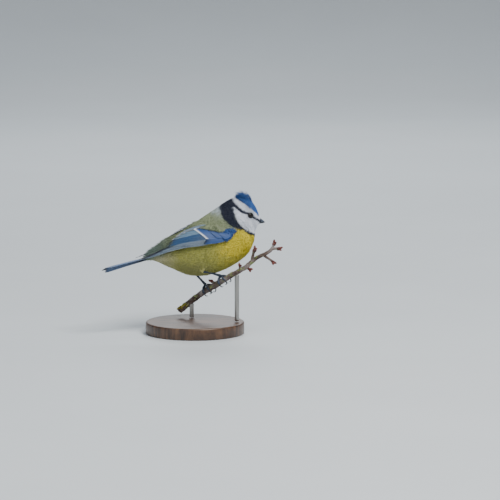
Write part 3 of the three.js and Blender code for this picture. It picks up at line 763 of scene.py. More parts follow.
class Finish:
    """A material with one Principled shader, whose constants are set on the shader's own sockets."""

    def __init__(self, name, **constants):
        self.material = bpy.data.materials.new(name)
        self.material.use_nodes = True
        self.tree = self.material.node_tree
        self.shader = self.tree.nodes["Principled BSDF"]
        for key, value in constants.items():
            socket = self.shader.inputs[key.replace("_", " ").title().replace("Ior", "IOR")]
            socket.default_value = (*value, 1.0) if isinstance(value, tuple) else value

    def node(self, kind, settings=None, inputs=None, output=0):
        made = self.tree.nodes.new(kind)
        for key, value in (settings or {}).items():
            if key == "stops":
                ramp = made.color_ramp
                while len(ramp.elements) < len(value):
                    ramp.elements.new(0.5)
                for element, (place, colour) in zip(ramp.elements, value):
                    element.position = place
                    element.color = (*colour, 1.0)
            else:
                setattr(made, key, value)
        for key, value in (inputs or {}).items():
            if isinstance(value, Wire):
                self.tree.links.new(value.socket, made.inputs[key])
            else:
                made.inputs[key].default_value = value
        return Wire(self, made.outputs[output])

    def place(self):
        return self.node("ShaderNodeTexCoord", output="Object")

    def speckle(self, scale, detail=4.0, rough=0.55, stretch=None):
        where = self.place()
        if stretch:
            where = self.node("ShaderNodeMapping", {}, {"Vector": where, "Scale": stretch})
        inputs = {"Vector": where, "Scale": scale, "Detail": detail, "Roughness": rough}
        return self.node("ShaderNodeTexNoise", {}, inputs)

    def height(self):
        return self.node("ShaderNodeSeparateXYZ", {}, {0: self.place()}, output=2)

    def painted(self):
        """The colours that the mesh's points carry."""
        return self.node("ShaderNodeAttribute", {"attribute_name": "plumage"}, output="Color")

    def mix(self, share, a, b, blend_type="MIX"):
        """Two colours mixed, each a wire or three values."""
        a, b = (colour if isinstance(colour, Wire) else (*colour, 1.0) for colour in (a, b))
        settings = {"data_type": "RGBA", "blend_type": blend_type}
        return self.node("ShaderNodeMix", settings, {0: share, 6: a, 7: b}, output=2)

    def between(self, share, low, high):
        """A colour between two colour codes."""
        return self.mix(share, linear(low), linear(high))

    def ramp(self, value, stops):
        return self.node("ShaderNodeValToRGB", {"stops": stops}, {0: value})

    def greys(self, value, *stops):
        """A ramp of places and grey levels."""
        return self.ramp(value, [(place, (level,) * 3) for place, level in stops])

    def tones(self, value, *stops):
        """A ramp of places and colour codes."""
        return self.ramp(value, [(place, linear(code)) for place, code in stops])

    def feed(self, **wires):
        for key, wire in wires.items():
            self.tree.links.new(wire.socket, self.shader.inputs[key.replace("_", " ").title()])
        return self.material

    def bump(self, height, strength, distance):
        inputs = {"Height": height, "Strength": strength, "Distance": distance}
        return self.node("ShaderNodeBump", {}, inputs)


def down_finish():
    constants = {"sheen_weight": 0.12, "sheen_roughness": 0.5, "specular_ior_level": 0.25}
    made = Finish("body_feathers", roughness=0.75, **constants)
    paint = made.painted()
    fleck = made.speckle(2600.0, detail=2.0)
    pale = made.mix(0.35, paint, made.greys(fleck, (0.3, 0.55), (0.7, 1.0)), "MULTIPLY")
    return made.feed(base_color=pale, roughness=fleck * 0.2 + 0.65)


def quill_finish():
    made = Finish("quill", roughness=0.5, sheen_weight=0.15, specular_ior_level=0.35)
    paint = made.painted()
    barbs = made.speckle(900.0, detail=3.0, stretch=(1.0, 1.0, 6.0))
    return made.feed(base_color=paint, roughness=barbs * 0.25 + 0.38, normal=made.bump(barbs, 0.25, 0.0002))


def eye_finish():
    made = Finish("eye", roughness=0.04, specular_ior_level=0.35)
    glow = made.speckle(700.0, detail=2.0)
    return made.feed(base_color=made.between(glow, "050404", "110a07"))


def bill_finish():
    made = Finish("bill", roughness=0.35, specular_ior_level=0.45)
    grain = made.speckle(900.0, stretch=(0.3, 1.0, 1.0))
    low = (made.height() * 1000.0 - 73.0) * 0.35
    shade = made.greys(low + grain * 0.3, (0.2, 0.0), (0.9, 1.0))
    tint = made.between(shade, "2b2f38", "5d6878")
    return made.feed(base_color=tint, roughness=grain * 0.2 + 0.28, normal=made.bump(grain, 0.15, 0.0001))


def leg_finish():
    made = Finish("leg", roughness=0.5, specular_ior_level=0.4)
    inputs = {"Vector": made.place(), "Scale": 1500.0}
    scales = made.node("ShaderNodeTexVoronoi", {"feature": "DISTANCE_TO_EDGE"}, inputs)
    tone = made.speckle(500.0)
    tint = made.between(tone, "232932", "49566a")
    seams = made.greys(scales, (0.0, 0.35), (0.12, 1.0))
    tint = made.mix(0.7, tint, seams, "MULTIPLY")
    return made.feed(base_color=tint, roughness=tone * 0.2 + 0.38, normal=made.bump(scales, 0.4, 0.0002))


def claw_finish():
    made = Finish("claw", roughness=0.3, specular_ior_level=0.5)
    tone = made.speckle(900.0)
    return made.feed(base_color=made.between(tone, "1b1d22", "3c4048"), roughness=tone * 0.15 + 0.25)


def bark_finish():
    made = Finish("bark", roughness=0.9, specular_ior_level=0.2)
    broad = made.speckle(120.0, detail=6.0)
    fine = made.speckle(900.0, detail=6.0)
    lichen = made.speckle(210.0, detail=3.0)
    stops = (0.45, "2d2522"), (0.65, "5f5049"), (0.85, "8f8580"), (1.0, "b8b1ac")
    tint = made.tones(broad + fine * 0.4, *stops)
    patch = made.greys(lichen, (0.58, 0.0), (0.66, 1.0))
    tint = made.mix(patch, tint, linear("7d8458"))
    return made.feed(base_color=tint, roughness=fine * 0.2 + 0.75, normal=made.bump(fine, 0.6, 0.0004))


def bud_finish():
    made = Finish("bud", roughness=0.6, specular_ior_level=0.35)
    tone = made.speckle(800.0)
    tint = made.tones(tone, (0.3, "331815"), (0.52, "69332b"), (0.72, "a5736a"))
    return made.feed(base_color=tint, roughness=tone * 0.2 + 0.5, normal=made.bump(tone, 0.3, 0.0002))


def lichen_finish():
    made = Finish("lichen", roughness=0.95, specular_ior_level=0.15)
    tone = made.speckle(300.0)
    ripe = made.greys(made.height() * 40.0 + tone * 0.5, (0.85, 1.0), (1.15, 0.0))
    green = made.tones(tone, (0.35, "56603c"), (0.5, "7f8752"), (0.68, "a9ad86"))
    yellow = made.tones(tone, (0.35, "7d7a22"), (0.55, "c4b01f"), (0.7, "e0cf3a"))
    tint = made.mix(ripe, green, yellow)
    return made.feed(base_color=tint, normal=made.bump(tone, 0.5, 0.0003))


def wood_finish():
    made = Finish("stained_wood", roughness=0.4, coat_weight=0.25, coat_roughness=0.3)
    grain = made.speckle(60.0, detail=8.0, stretch=(1.0, 9.0, 1.0))
    fine = made.speckle(500.0, detail=4.0, stretch=(1.0, 14.0, 1.0))
    tint = made.tones(grain + fine * 0.25, (0.45, "2a1c14"), (0.62, "4a3222"), (0.8, "6a4a31"))
    return made.feed(base_color=tint, roughness=fine * 0.2 + 0.32, normal=made.bump(fine, 0.12, 0.0002))


def steel_finish():
    made = Finish("rod_steel", metallic=1.0, roughness=0.3)
    grain = made.speckle(1500.0, detail=2.0, stretch=(1.0, 1.0, 0.05))
    tint = made.between(grain, "8b8a88", "b9b6b0")
    return made.feed(base_color=tint, roughness=grain * 0.15 + 0.25, normal=made.bump(grain, 0.08, 0.0001))


def floor_finish():
    made = Finish("floor", roughness=0.75)
    tone = made.speckle(6.0, detail=3.0)
    return made.feed(base_color=made.between(tone, "c6ccd0", "d0d6d9"))


FINISH = {
    "down": down_finish(),
    "quill": quill_finish(),
    "eye": eye_finish(),
    "bill": bill_finish(),
    "leg": leg_finish(),
    "claw": claw_finish(),
    "bark": bark_finish(),
    "bud": bud_finish(),
    "lichen": lichen_finish(),
    "wood": wood_finish(),
    "steel": steel_finish(),
    "floor": floor_finish(),
}


# The bird.
def skin_depth(station):
    return SKIN_DEPTH * (1 - 0.45 * smooth(station, 7.5, 10))


def make_skin():
    """One skin from the tail's root to the bill's root, with the feathers' colours darkened as painted shade
    between the tufts.
    """

    def place(share, turn):
        station = share * LAST_STATION
        point = body_point(station, turn, -skin_depth(station))
        middle = body_point(station, 0, 0) * 0.5 + body_point(station, math.pi, 0) * 0.5
        return middle + (point - middle) * closing(share, (0.02, 0.012))[:, None]

    bm = drawn(170, 110, place)
    points = np.array([v.co for v in bm.verts])
    skin = piece("skin", bm, FINISH["down"], ("torso", "neck", "head"))
    # The skin's colours are the feathers' colours darkened as painted shade.
    tint_points(skin.data, plumage(points) * SKIN_PAINTED_SHADE)


AT_ONCE = 2000  # points compared with the wing at a time


def wing_cover(points, normals):
    """How deep each point lies under a wing, from nothing at its edges, and how far the wing is above it."""
    reach, rise = np.meshgrid(np.arange(1, Wing.length, 1.0), np.arange(0.5, 17, 1.0), indexing="ij")
    sheet = Wing.at(reach, rise, 0.0).reshape(-1, 3)
    top = np.interp(reach, (0, 20, 34, Wing.length), (9.5, 9.0, 7.0, 3.0))
    front = np.where(rise > 7.0, reach - 9, reach - 1)
    inside = np.minimum(np.minimum(front, Wing.length - reach), np.minimum(rise + 0.5, top - rise)).ravel()
    near = near_side(points)
    outward = normals * [1, 0, 1] + normals[:, 1:2] * np.sign(points[:, 1:2]) * [0, -1, 0]
    cover = np.zeros(len(points))
    gap = np.zeros(len(points))
    inner = ((rise > 5.0) & (reach > 14)).ravel()
    for low in range(0, len(points), AT_ONCE):
        block = slice(low, low + AT_ONCE)
        away = np.linalg.norm(near[block][:, None, :] - sheet[None], axis=2)
        best = away.argmin(1)
        close = away.min(1)
        over = np.sum((sheet[best] - near[block]) * outward[block], axis=1)
        cover[block] = np.where((close < 4.0) & (over > 0.3), inside[best], 0)
        gap[block] = np.where((close < 5.0) & inner[best], np.clip(over, 0, 3), 0)
    return cover, gap


# How the coat changes along the body: station, space between tufts, and a tuft's length, width and lift.
COAT = np.array(
    (
        (0.0, 0.62, 4.4, 0.38, 0.10),
        (2.0, 0.62, 4.8, 0.38, 0.13),
        (4.4, 0.60, 4.4, 0.36, 0.15),
        (6.6, 0.56, 3.7, 0.34, 0.15),
        (8.0, 0.50, 2.8, 0.30, 0.14),
        (9.5, 0.43, 2.0, 0.26, 0.14),
        (10.8, 0.38, 1.5, 0.23, 0.15),
        (12.0, 0.34, 0.8, 0.18, 0.15),
    )
)
# Pieces of the coat: name, slot, stations and whether it is the back or the underside, or both.
COAT_PIECES = (
    ("coat_head", "plumage_white", (8.75, 12.0), "both"),
    ("coat_neck", "plumage_green", (7.0, 8.75), "both"),
    ("coat_mantle", "plumage_green", (4.5, 7.0), "back"),
    ("coat_rump", "plumage_green", (0.0, 4.5), "back"),
    ("coat_breast", "plumage_yellow", (5.2, 7.0), "under"),
    ("coat_belly", "plumage_yellow", (3.4, 5.2), "under"),
    ("coat_vent", "plumage_yellow", (0.0, 3.4), "under"),
)
FIRST_ROW = 0.06
LAST_ROW = LAST_STATION - 0.03
ROW_STEP = 0.05  # along the body, over which the rows' advance is measured
FACE_LEVEL = 5.0  # how far out the sides of the face lie
EYE_CLEAR = 1.75  # from the eye's middle to the first tufts
WING_HIDES = 2.2  # how deep under a wing the last tufts stand


def coat_value(station, column):
    return np.interp(station, COAT[:, 0], COAT[:, column])


def body_ring(station):
    return body_point(np.full(60, station), np.linspace(0, 2 * math.pi, 60))


def coat_places():
    """Staggered rows of places, as stations and turns, that are as close as the coat asks for there."""
    places = []
    station = FIRST_ROW
    row = 0
    while station < LAST_ROW:
        space = coat_value(station, 1)
        ring = body_ring(station)
        count = int(np.linalg.norm(np.diff(ring, axis=0), axis=1).sum() / space)
        turn = (np.arange(count) + 0.5 * (row % 2)) * 2 * math.pi / count
        step = body_ring(station + ROW_STEP) - ring
        advance = ROW_STEP * space / np.linalg.norm(step, axis=1).max()
        places.append(np.column_stack([station + rng.normal(0, 0.4, count) * advance, turn]))
        station += advance
        row += 1
    places = np.concatenate(places)
    places[:, 0] = np.clip(places[:, 0], FIRST_ROW, LAST_ROW)
    places[:, 1] = (places[:, 1] + rng.normal(0, 0.016, len(places))) % (2 * math.pi)
    return places.T


def make_coat():
    """Tufts over the whole body, each coloured by its place, in pieces."""
    station, turn = coat_places()
    point, way, normal = body_lie(station, turn, -skin_depth(station) + 0.05)
    eye = np.array([EYE_PLACE[0], 0, EYE_PLACE[2]])
    off_eye = np.linalg.norm((point - eye) * [1, 0, 1], axis=1)
    on_eye = (off_eye < EYE_CLEAR) & (np.abs(point[:, 1]) > FACE_LEVEL)
    cover, gap = wing_cover(point, normal)
    keep = (cover < WING_HIDES) & ~on_eye
    station, turn, point, way, normal, off_eye, gap = (
        rows[keep] for rows in (station, turn, point, way, normal, off_eye, gap)
    )
    count = len(point)
    long, wide, rise = (coat_value(station, column) for column in (2, 3, 4))
    colours = plumage(point + way * 0.5 * long[:, None])
    long = long * rng.uniform(0.85, 1.15, count)
    middle = point[:, 2] - 0.9 * np.abs(point[:, 1])
    crest = smooth(middle, 84.5, 88.5) * smooth(station, 8.3, 8.9) * (1 - smooth(station, 10.6, 11.2))
    fluff = (1 - smooth(point[:, 2], 41, 52)) * (1 - smooth(point[:, 0], 6, 26))
    rump = (1 - smooth(station, 2.2, 3.4)) * smooth(np.cos(turn), 0.1, 0.5) * smooth(station, 0.2, 1.0)
    rise = rise + 0.85 * crest * rng.uniform(0.1, 1.2, count) + 0.16 * fluff * rng.uniform(0, 1, count)
    rise = rise + 0.3 * rump * rng.uniform(0.4, 1, count) + gap / long * rng.uniform(0.3, 1, count)
    by_eye = 1 - 0.5 * (1 - smooth(off_eye, 1.8, 4.5)) * (np.abs(point[:, 1]) > FACE_LEVEL)
    long = long * (1 + 1.2 * crest * rng.uniform(0.4, 1.2, count) + 0.3 * rump) * by_eye
    wide = wide * by_eye
    bend = np.where(station > 7.5, 9.0, 15.0)
    patches = np.column_stack([0.02 + 0.96 * turn / (2 * math.pi), 0.02 + 0.96 * station / LAST_STATION])
    back = np.cos(turn) > 0.2
    for name, slot, (first, last), side in COAT_PIECES:
        here = (station >= first) & (station < last)
        if side != "both":
            here &= back if side == "back" else ~back
        tufts = [rows[here] for rows in (point, way, normal, long, wide, rise, bend, colours, patches)]
        dress(name, locks(name, *tufts, strands=4), FINISH["down"])


def make_eyes():
    out = unit(np.array(EYE_OUT))
    surface = np.array(EYE_PLACE) - [0, 0.45, 0]
    centre = surface - out * EYE_DEPTH
    for side, name in ((1, "left"), (-1, "right")):
        flip = np.array([1, side, 1])
        bm = bmesh.new()
        bmesh.ops.create_uvsphere(bm, u_segments=40, v_segments=28, radius=EYE_RADIUS)
        bmesh.ops.translate(bm, verts=bm.verts, vec=Vector(centre * flip))
        piece(f"eyeball_{name}", bm, FINISH["eye"], (f"eye_{name}",))
        turn = Vector((0, 0, 1)).rotation_difference(Vector(out * flip))
        ring = surface * flip - out * flip * 0.05
        angles = np.linspace(0, 2 * math.pi, 25)
        spokes = [Vector((LID_RADIUS * math.cos(a), LID_RADIUS * math.sin(a), 0)) for a in angles]
        loop = [ring + np.array(turn @ spoke) for spoke in spokes]
        lid = limb(loop, [LID_THICKNESS] * 25, sides=10, rings=90, ends=(0.001, 0.001))
        piece(f"eyelid_{name}", lid, FINISH["claw"])


BILL_ROOT = 43.9
BILL_TIP = 48.7
BILL_OVERHANG = 0.5  # of the upper half past the lower one
BILL_DEPTHS = (2.45, 1.35)  # of the upper and the lower half at the root
MOUTH = (74.05, 73.15)
NOSTRIL = ((44.9, 1.15, 75.35), (45.6, 1.28, 75.1), (46.2, 1.1, 74.85))
NOSTRIL_RADII = (0.1, 0.3, 0.08)
BRISTLES = 120


def bill_half(upper):
    """One half of the bill: flat along the mouth, with a ridged back that curves down to the tip."""
    end = BILL_TIP if upper else BILL_TIP - BILL_OVERHANG
    deep = BILL_DEPTHS[0 if upper else 1]

    def place(share, turn):
        x = BILL_ROOT + (end - BILL_ROOT) * share
        edge = MOUTH[0] + (MOUTH[1] - MOUTH[0]) * share + (0.1 if upper else -0.1)
        half = 0.12 + 1.8 * (1 - share**1.3)
        rise = 0.12 + (deep - 0.12) * (1 - share ** (1.75 if upper else 1.9))
        round_ = closing(share, (0.06, 0.05))
        up = np.sin(turn)
        bulge = np.where(up > 0, rise * np.abs(up) ** 0.8, 0.12 * up)
        z = edge + (bulge if upper else -bulge) * round_ - (0.25 * share**4 if upper else 0)
        return np.column_stack([x, half * np.cos(turn) * round_, z])

    return drawn(44, 36, place)


def varied(name, count, low, high):
    """A colour for each of so many feathers, each a little darker or lighter."""
    return np.tile(COLOURS[name], (count, 1)) * rng.uniform(low, high, (count, 1))


def squared(out, way):
    """Directions out, turned square to way."""
    return unit(out - way * np.sum(out * way, 1)[:, None])


def make_bill():
    piece("bill_ridge", bill_half(True), FINISH["bill"], ("bill_upper",))
    piece("bill_floor", bill_half(False), FINISH["bill"], ("bill_lower",))
    for side, name in ((1, "left"), (-1, "right")):
        hole = limb(np.multiply(NOSTRIL, [1, side, 1]), NOSTRIL_RADII, 8, 14)
        piece(f"nostril_{name}", hole, FINISH["claw"])
    count = BRISTLES
    spin = rng.uniform(0.6, 2.1, count) * rng.choice([-1, 1], count)
    root = np.column_stack([np.full(count, 44.3), 1.9 * np.sin(spin), 74.6 + 1.8 * np.cos(spin)])
    out = unit(root - [44.3, 0, 74.4])
    way = unit(np.array([1, 0, 0]) + out * 0.08 + rng.normal(0, 0.08, (count, 3)))
    tone = varied("navy", count, 0.8, 1.6)
    spots = np.column_stack([rng.uniform(0.1, 0.9, count), rng.uniform(0.1, 0.9, count)])
    long = rng.uniform(0.7, 1.5, count)
    mesh = locks("bill_bristles", root, way, squared(out, way), long, 0.12, 0.04, 9.0, tone, spots, strands=1)
    dress("bill_bristles", mesh, FINISH["down"])


def web(blade, edge=None, dark="quill dark", inner=-0.55, tip=None, tip_from=0.9):
    """Colours a flight feather: a bright outer web, a pale rim if wanted, and a dark inner web and shaft.
    inner is where across the feather the dark begins."""
    blade, dark = np.array(COLOURS[blade]), np.array(COLOURS[dark])

    def paint(share, across):
        tint = blend(blade, dark, smooth(across, inner - 0.08, inner + 0.12)[..., None])
        tint = blend(tint, dark * 0.6, np.exp(-(((across + 0.1) / 0.1) ** 2))[..., None])
        if edge:
            tint = blend(tint, COLOURS[edge], (1 - smooth(across, -0.97, -0.9))[..., None] * 0.8)
        if tip:
            tint = blend(tint, COLOURS[tip], smooth(share, tip_from, tip_from + 0.05)[..., None])
        return tint

    return paint


def wing_feathers():
    """Every quill and covert of the right wing, from the lowest to the topmost."""
    tertial = {"edge": "quill pale", "dark": "tertial inner", "inner": -0.2, "tip": "bar"}
    covert = {"blade": "covert", "dark": "covert dark"}
    return [
        *tier(8, ((12, 1.2), (Wing.length - 0.4, 1.9), 3.0, (0.1, 0.35)),
              ((14, 5.2), (50, 4.6), 3.4, (0.1, 0.6)),
              paint=web("quill slate", "quill pale", inner=-0.84), tip=0.85, tilt=0.3),
        *tier(7, ((15, 5.0), (51.0, 5.2), 3.3, (0.1, 0.75)), ((17, 10.0), (47, 8.4), 3.7, (0.15, 0.95)),
              paint=web("quill blue", inner=-0.76), tip=0.82, tilt=0.32),
        *tier(4, ((16, 16.8), (38, 15.8), 4.6, (-0.6, 0.3)), ((18, 12.4), (43.5, 11.6), 4.4, (0.0, 0.7)),
              paint=web("tertial", tip_from=0.95, **tertial), tip=0.6),
        *tier(3, ((18, 10.8), (46.5, 9.2), 4.2, (0.2, 0.9)), ((20, 13.0), (38, 11.8), 4.8, (0.2, 0.9)),
              paint=web("tertial", tip_from=0.93, **tertial), tip=0.6),
        *tier(5, ((7, 1.0), (26, 1.4), 2.0, (0.3, 0.8)), ((9, 3.6), (23, 4.4), 2.4, (0.3, 0.95)),
              paint=web(**covert), tip=0.7, tilt=0.25),
        *tier(9, ((12, 4.4), (24.5, 4.4), 2.4, (0.4, 1.0)), ((17, 12.0), (31.0, 12.4), 2.8, (0.4, 1.1)),
              paint=web(inner=-0.4, tip="bar", tip_from=0.84, **covert), tip=0.62, tilt=0.3),
        *tier(8, ((6.5, 3.6), (17.6, 4.4), 2.4, (0.5, 1.25)), ((12, 9.6), (22.5, 11.2), 2.6, (0.3, 0.9)),
              paint=web(inner=-0.3, **covert), tip=0.5, tilt=0.3),
        *tier(7, ((2.5, 1.6), (12.0, 2.2), 2.5, (0.4, 1.2)), ((7, 8.0), (16.2, 9.2), 2.6, (0.2, 0.8)),
              paint=web(inner=-0.2, **covert), tip=0.5, tilt=0.3),
    ]


# The wing's base under its feathers, where it lies on the sheet, with half its width and thickness.
LINING_START = 1.5
LINING_LENGTH = 42
LINING_RISE = 6.0
LINING_WIDE = 5.2
LINING_LIFT = -0.5
LINING_THICK = 0.45


def make_wings():
    feathers = wing_feathers()
    for mirror, name in ((False, "right"), (True, "left")):
        mesh = vanes(f"wing_feathers_{name}", Wing.at, feathers, mirror)
        dress(f"wing_feathers_{name}", mesh, FINISH["quill"], (f"wing_{name}",))
        flip = np.array([1, -1 if mirror else 1, 1])

        def lining(share, turn):
            reach = LINING_START + LINING_LENGTH * share
            high = LINING_WIDE * closing(share, (0.25, 0.6)) + 0.3
            rise = LINING_RISE + high * np.cos(turn)
            lift = LINING_LIFT + LINING_THICK * np.sin(turn) * closing(share, (0.1, 0.1))
            return Wing.at(reach, rise, lift) * flip

        bm = drawn(50, 24, lining)
        base = piece(f"wing_base_{name}", bm, FINISH["down"])
        tint_points(base.data, np.tile(COLOURS["tertial inner"], (len(base.data.vertices), 1)))


SHEET_BEND = 18.0  # radius that tufts on the wing bend over


def sheet_coat(name, slot, mirror, places, clear, colours, *sizes):
    """Tufts on the wing's sheet, at rows of reach and rise, clear of it. Sizes are length, width and lift."""
    flip = np.array([1, -1 if mirror else 1, 1])
    reach, rise = places.T
    point = Wing.at(reach, rise, clear)
    way = unit(Wing.at(reach + 0.4, rise, clear) - point)
    normal = unit(Wing.at(reach, rise, clear + 0.5) - point)
    patches = np.column_stack([0.05 + 0.9 * reach / Wing.length, 0.05 + 0.9 * rise / 24])
    mesh = locks(name, point * flip, way * flip, normal * flip, *sizes, SHEET_BEND, colours, patches)
    dress(name, mesh, FINISH["down"])


SCAPULAR_EDGE = ((0, 5.5), (6, 7.5), (12, 9.0), (18, 10.5), (24, 12.5), (30, 15.5), (34, 19))


def scatter(space, low, high):
    """Jittered places in a rectangle of the wing's sheet."""
    reach, rise = np.meshgrid(np.arange(low[0], high[0], space), np.arange(low[1], high[1], space))
    places = np.column_stack([reach.ravel(), rise.ravel()])
    return places + rng.uniform(-0.5, 0.5, places.shape) * space


def make_scapulars():
    """Green feathers of the shoulder over the wing's root, and small blue ones over its bend."""
    for mirror, name in ((False, "right"), (True, "left")):
        places = scatter(0.55, (1.5, 5.5), (25, 12.6))
        green = places[above(places, SCAPULAR_EDGE) > 0]
        clear = 0.3 + 0.95 * smooth(green[:, 0], 0, 10)
        tone = varied("mantle", len(green), 0.9, 1.08)
        sheet_coat(f"scapulars_{name}", "plumage_green", mirror, green, clear, tone, 4.4, 0.46, 0.09)
        places = scatter(0.7, (-1.5, 0.4), (9, 9))
        blue = places[above(places, SCAPULAR_EDGE) < 0.5]
        tone = varied("covert", len(blue), 0.8, 1.15)
        sheet_coat(f"bend_{name}", "plumage_blue", mirror, blue, 0.3, tone, 3.2, 0.6, 0.16)


THIGH_TUFTS = 700


def make_thighs():
    """Loose feathers round the top of each leg, where it leaves the belly."""
    for side, (_, ankle, knee) in LEGS.items():
        knee, ankle = np.array(knee), np.array(ankle)
        down = unit(ankle - knee)
        aside = unit(np.cross(down, (0, 1, 0)))
        other = np.cross(down, aside)
        count = THIGH_TUFTS
        share = rng.uniform(-0.4, 1.05, count)
        turn = rng.uniform(0, 2 * math.pi, count)
        out = aside * np.cos(turn)[:, None] + other * np.sin(turn)[:, None]
        radius = 2.3 - 0.7 * smooth(share, 0.2, 1.05)
        root = knee + (ankle - knee) * share[:, None] + out * radius[:, None]
        way = unit(down + out * -0.3 + np.array([-0.35, 0, 0]) + rng.normal(0, 0.06, (count, 3)))
        patches = np.column_stack([0.05 + 0.9 * turn / (2 * math.pi), 0.3 + share * 0.5])
        tone = plumage(root) * rng.uniform(0.9, 1.08, (count, 1))
        mesh = locks(f"thigh_{side}", root, way, squared(out, way), 2.6, 0.32, 0.06, 14.0, tone, patches)
        dress(f"thigh_{side}", mesh, FINISH["down"])


def make_tail():
    feathers = []
    for pair in range(5, -1, -1):
        edge = "bar" if pair == 5 else None
        tint = web("tail blue", edge, "tail dark", inner=0.7 if pair == 0 else -0.3)
        for side in (-1, 1):
            drop = -0.36 * pair - (0.12 if side > 0 else 0)

            def paint(share, across, tint=tint, side=side):
                rim = smooth(np.abs(across), 0.6, 0.86) * 0.92
                end = smooth(share, 0.7, 1.0) * 0.6
                dark = np.maximum(rim, end)[..., None]
                return blend(tint(share, across * -side), COLOURS["tail dark"], dark)

            feathers.append({
                "from": (-1.5, side * (0.3 + 0.15 * pair)),
                "to": (TAIL_LENGTH - 1.9 + 0.45 * min(pair, 4), side * (0.9 + 0.82 * pair)),
                "wide": 3.7 - 0.1 * pair,
                "lift": (0.1 + 0.5 * drop, 0.5 + drop),
                "tilt": side * 0.15,
                "tip": 0.88,
                "paint": paint,
            })
    mesh = vanes("tail_feathers", tail_point, feathers, rows=20)
    dress("tail_feathers", mesh, FINISH["quill"], ("tail",))


def scutes(pitch):
    """Plates across the front of a leg or toe, as a change of radius."""
    return lambda share, turn: 1 + 0.07 * (1 - ((share * pitch) % 1) ** 2) * (0.6 + 0.4 * np.cos(turn))


def make_legs():
    for side, (on, ankle, knee) in LEGS.items():
        hub = grip_point(on, 0, 0, GRIP + HUB)
        shank = [hub, *(blend(hub, ankle, k) for k in (0.3, 0.65)), np.array(ankle), np.array(knee)]
        parts = [limb(shank, [1.05, 0.72, 0.75, 1.1, 1.3], 20, 110, shape=scutes(15))]
        for toe, way, start, end, wrap, radius in TOES:
            points = [hub]
            for share in (0.28, 0.52, 0.78, 1.0):
                clear = GRIP * 0.4 + radius * (1.25 - 0.2 * share)
                points.append(grip_point(on, start + (end - start) * share, way * wrap * share, clear))
            sizes = [radius * k for k in (1.35, 1.12, 0.92, 1.1, 0.9)]
            parts.append(limb(points, sizes, 16, 70, ends=(0.03, 0.06), shape=scutes(11)))
            claw = []
            for share in (-0.12, 0.2, 0.5, 0.78, 1.0):
                off = GRIP + radius + 0.7 * math.sin(math.pi * max(share, 0) * 0.8)
                claw.append(grip_point(on, end, way * (wrap + CLAW_TURN * share + 6), off))
            sizes = [CLAW_RADIUS * k for k in (1.0, 0.95, 0.75, 0.5, 0.12)]
            bm = limb(claw, sizes, 14, 40, ends=(0.05, 0.02))
            piece(f"claw_{side}_toe_{toe}", bm, FINISH["claw"], (f"claw_{side}_{toe}",))
        piece(f"foot_{side}", merged(parts), FINISH["leg"], (f"leg_{side}",))


def bark_shape(scale, seed):
    """Ridges and knobs of the bark, as a change of radius."""

    def shape(share, turn):
        ridges, knobs = [], []
        for s, t in zip(share, turn):
            x, y, z = s * scale, math.cos(t), math.sin(t)
            ridges.append(noise.noise(Vector((x, y * 1.3 + seed, z * 1.3))))
            knobs.append(noise.noise(Vector((x * 3.1, y * 2.6, z * 2.6 + seed))))
        return 1.03 + 0.2 * np.array(ridges) + 0.16 * np.array(knobs)

    return shape


def bud_scales(share, turn):
    """Overlapping scales of a bud, as a change of radius."""
    return 1 + 0.14 * np.abs(np.sin(2.5 * turn + share * 7)) ** 3


def make_perch():
    sizes = [radius * 0.98 for radius in TWIG_RADII]
    parts = [limb(TWIG_POINTS, sizes, 40, 260, ends=(0.004, 0.02), shape=bark_shape(26, 0))]
    buds = []
    for number, (place, tip, radius, count) in enumerate(SPURS):
        root = spline(TWIG_POINTS, place)
        tip = np.array(tip)
        way = unit(tip - root)
        middle = blend(root, tip, 0.5) + [0, 0, 0.3 * radius]
        sizes = [radius * k for k in (1.1, 0.85, 1.0, 0.85, 1.15)]
        spur = [root, blend(root, middle, 0.5), middle, tip]
        parts.append(limb(spur, sizes, 20, 50, shape=bark_shape(9, number)))
        side = unit(np.cross(way, (0.3, 1, 0.2)))
        other = np.cross(way, side)
        for i in range(count + 2):
            spread = side * math.cos(2.4 * i) + other * math.sin(2.4 * i)
            start = tip - way * 0.5 * i * radius + spread * (0.35 * radius if i else 0)
            lean = unit(way + spread * (0.25 if i == 0 else 0.9))
            size = 1.12 - 0.08 * i
            reach = [start + lean * BUD_LENGTH * size * k for k in (-0.1, 0.3, 0.7, 1.0)]
            sizes = [BUD_RADIUS * size * k for k in (0.6, 1.0, 0.7, 0.15)]
            buds.append(limb(reach, sizes, 22, 26, ends=(0.1, 0.1), shape=bud_scales))
    for on, turn, size in KNOTS:
        knot = [grip_point(on, 0, turn, clear) for clear in (-1.4, -0.3, 0.5 * size)]
        sizes = [size, size * 0.95, size * 0.5]
        parts.append(limb(knot, sizes, 14, 20, ends=(0.2, 0.3), shape=bark_shape(4, on)))
    piece("twig", merged(parts), FINISH["bark"], ("perch",))
    piece("buds", merged(buds), FINISH["bud"])
    lumps = []
    for on, turn, count, reach in LICHENS:
        for _ in range(count):
            size = rng.uniform(0.2, 0.55)
            further = rng.normal(0, reach)
            angle = turn + rng.normal(0, 22 * reach)
            centre = grip_point(on, further, angle, -0.1)
            bm = bmesh.new()
            bmesh.ops.create_icosphere(bm, subdivisions=2, radius=size)
            for vert in bm.verts:
                vert.co *= 1 + 0.5 * noise.noise(vert.co * 3 + Vector(centre))
            bmesh.ops.translate(bm, verts=bm.verts, vec=Vector(centre))
            lumps.append(bm)
    piece("lichen", merged(lumps), FINISH["lichen"])


def strung(bm, points):
    """Points of a bmesh, and the edges that join them in a line."""
    line = [bm.verts.new(point) for point in points]
    return line, [bm.edges.new(pair) for pair in zip(line, line[1:])]


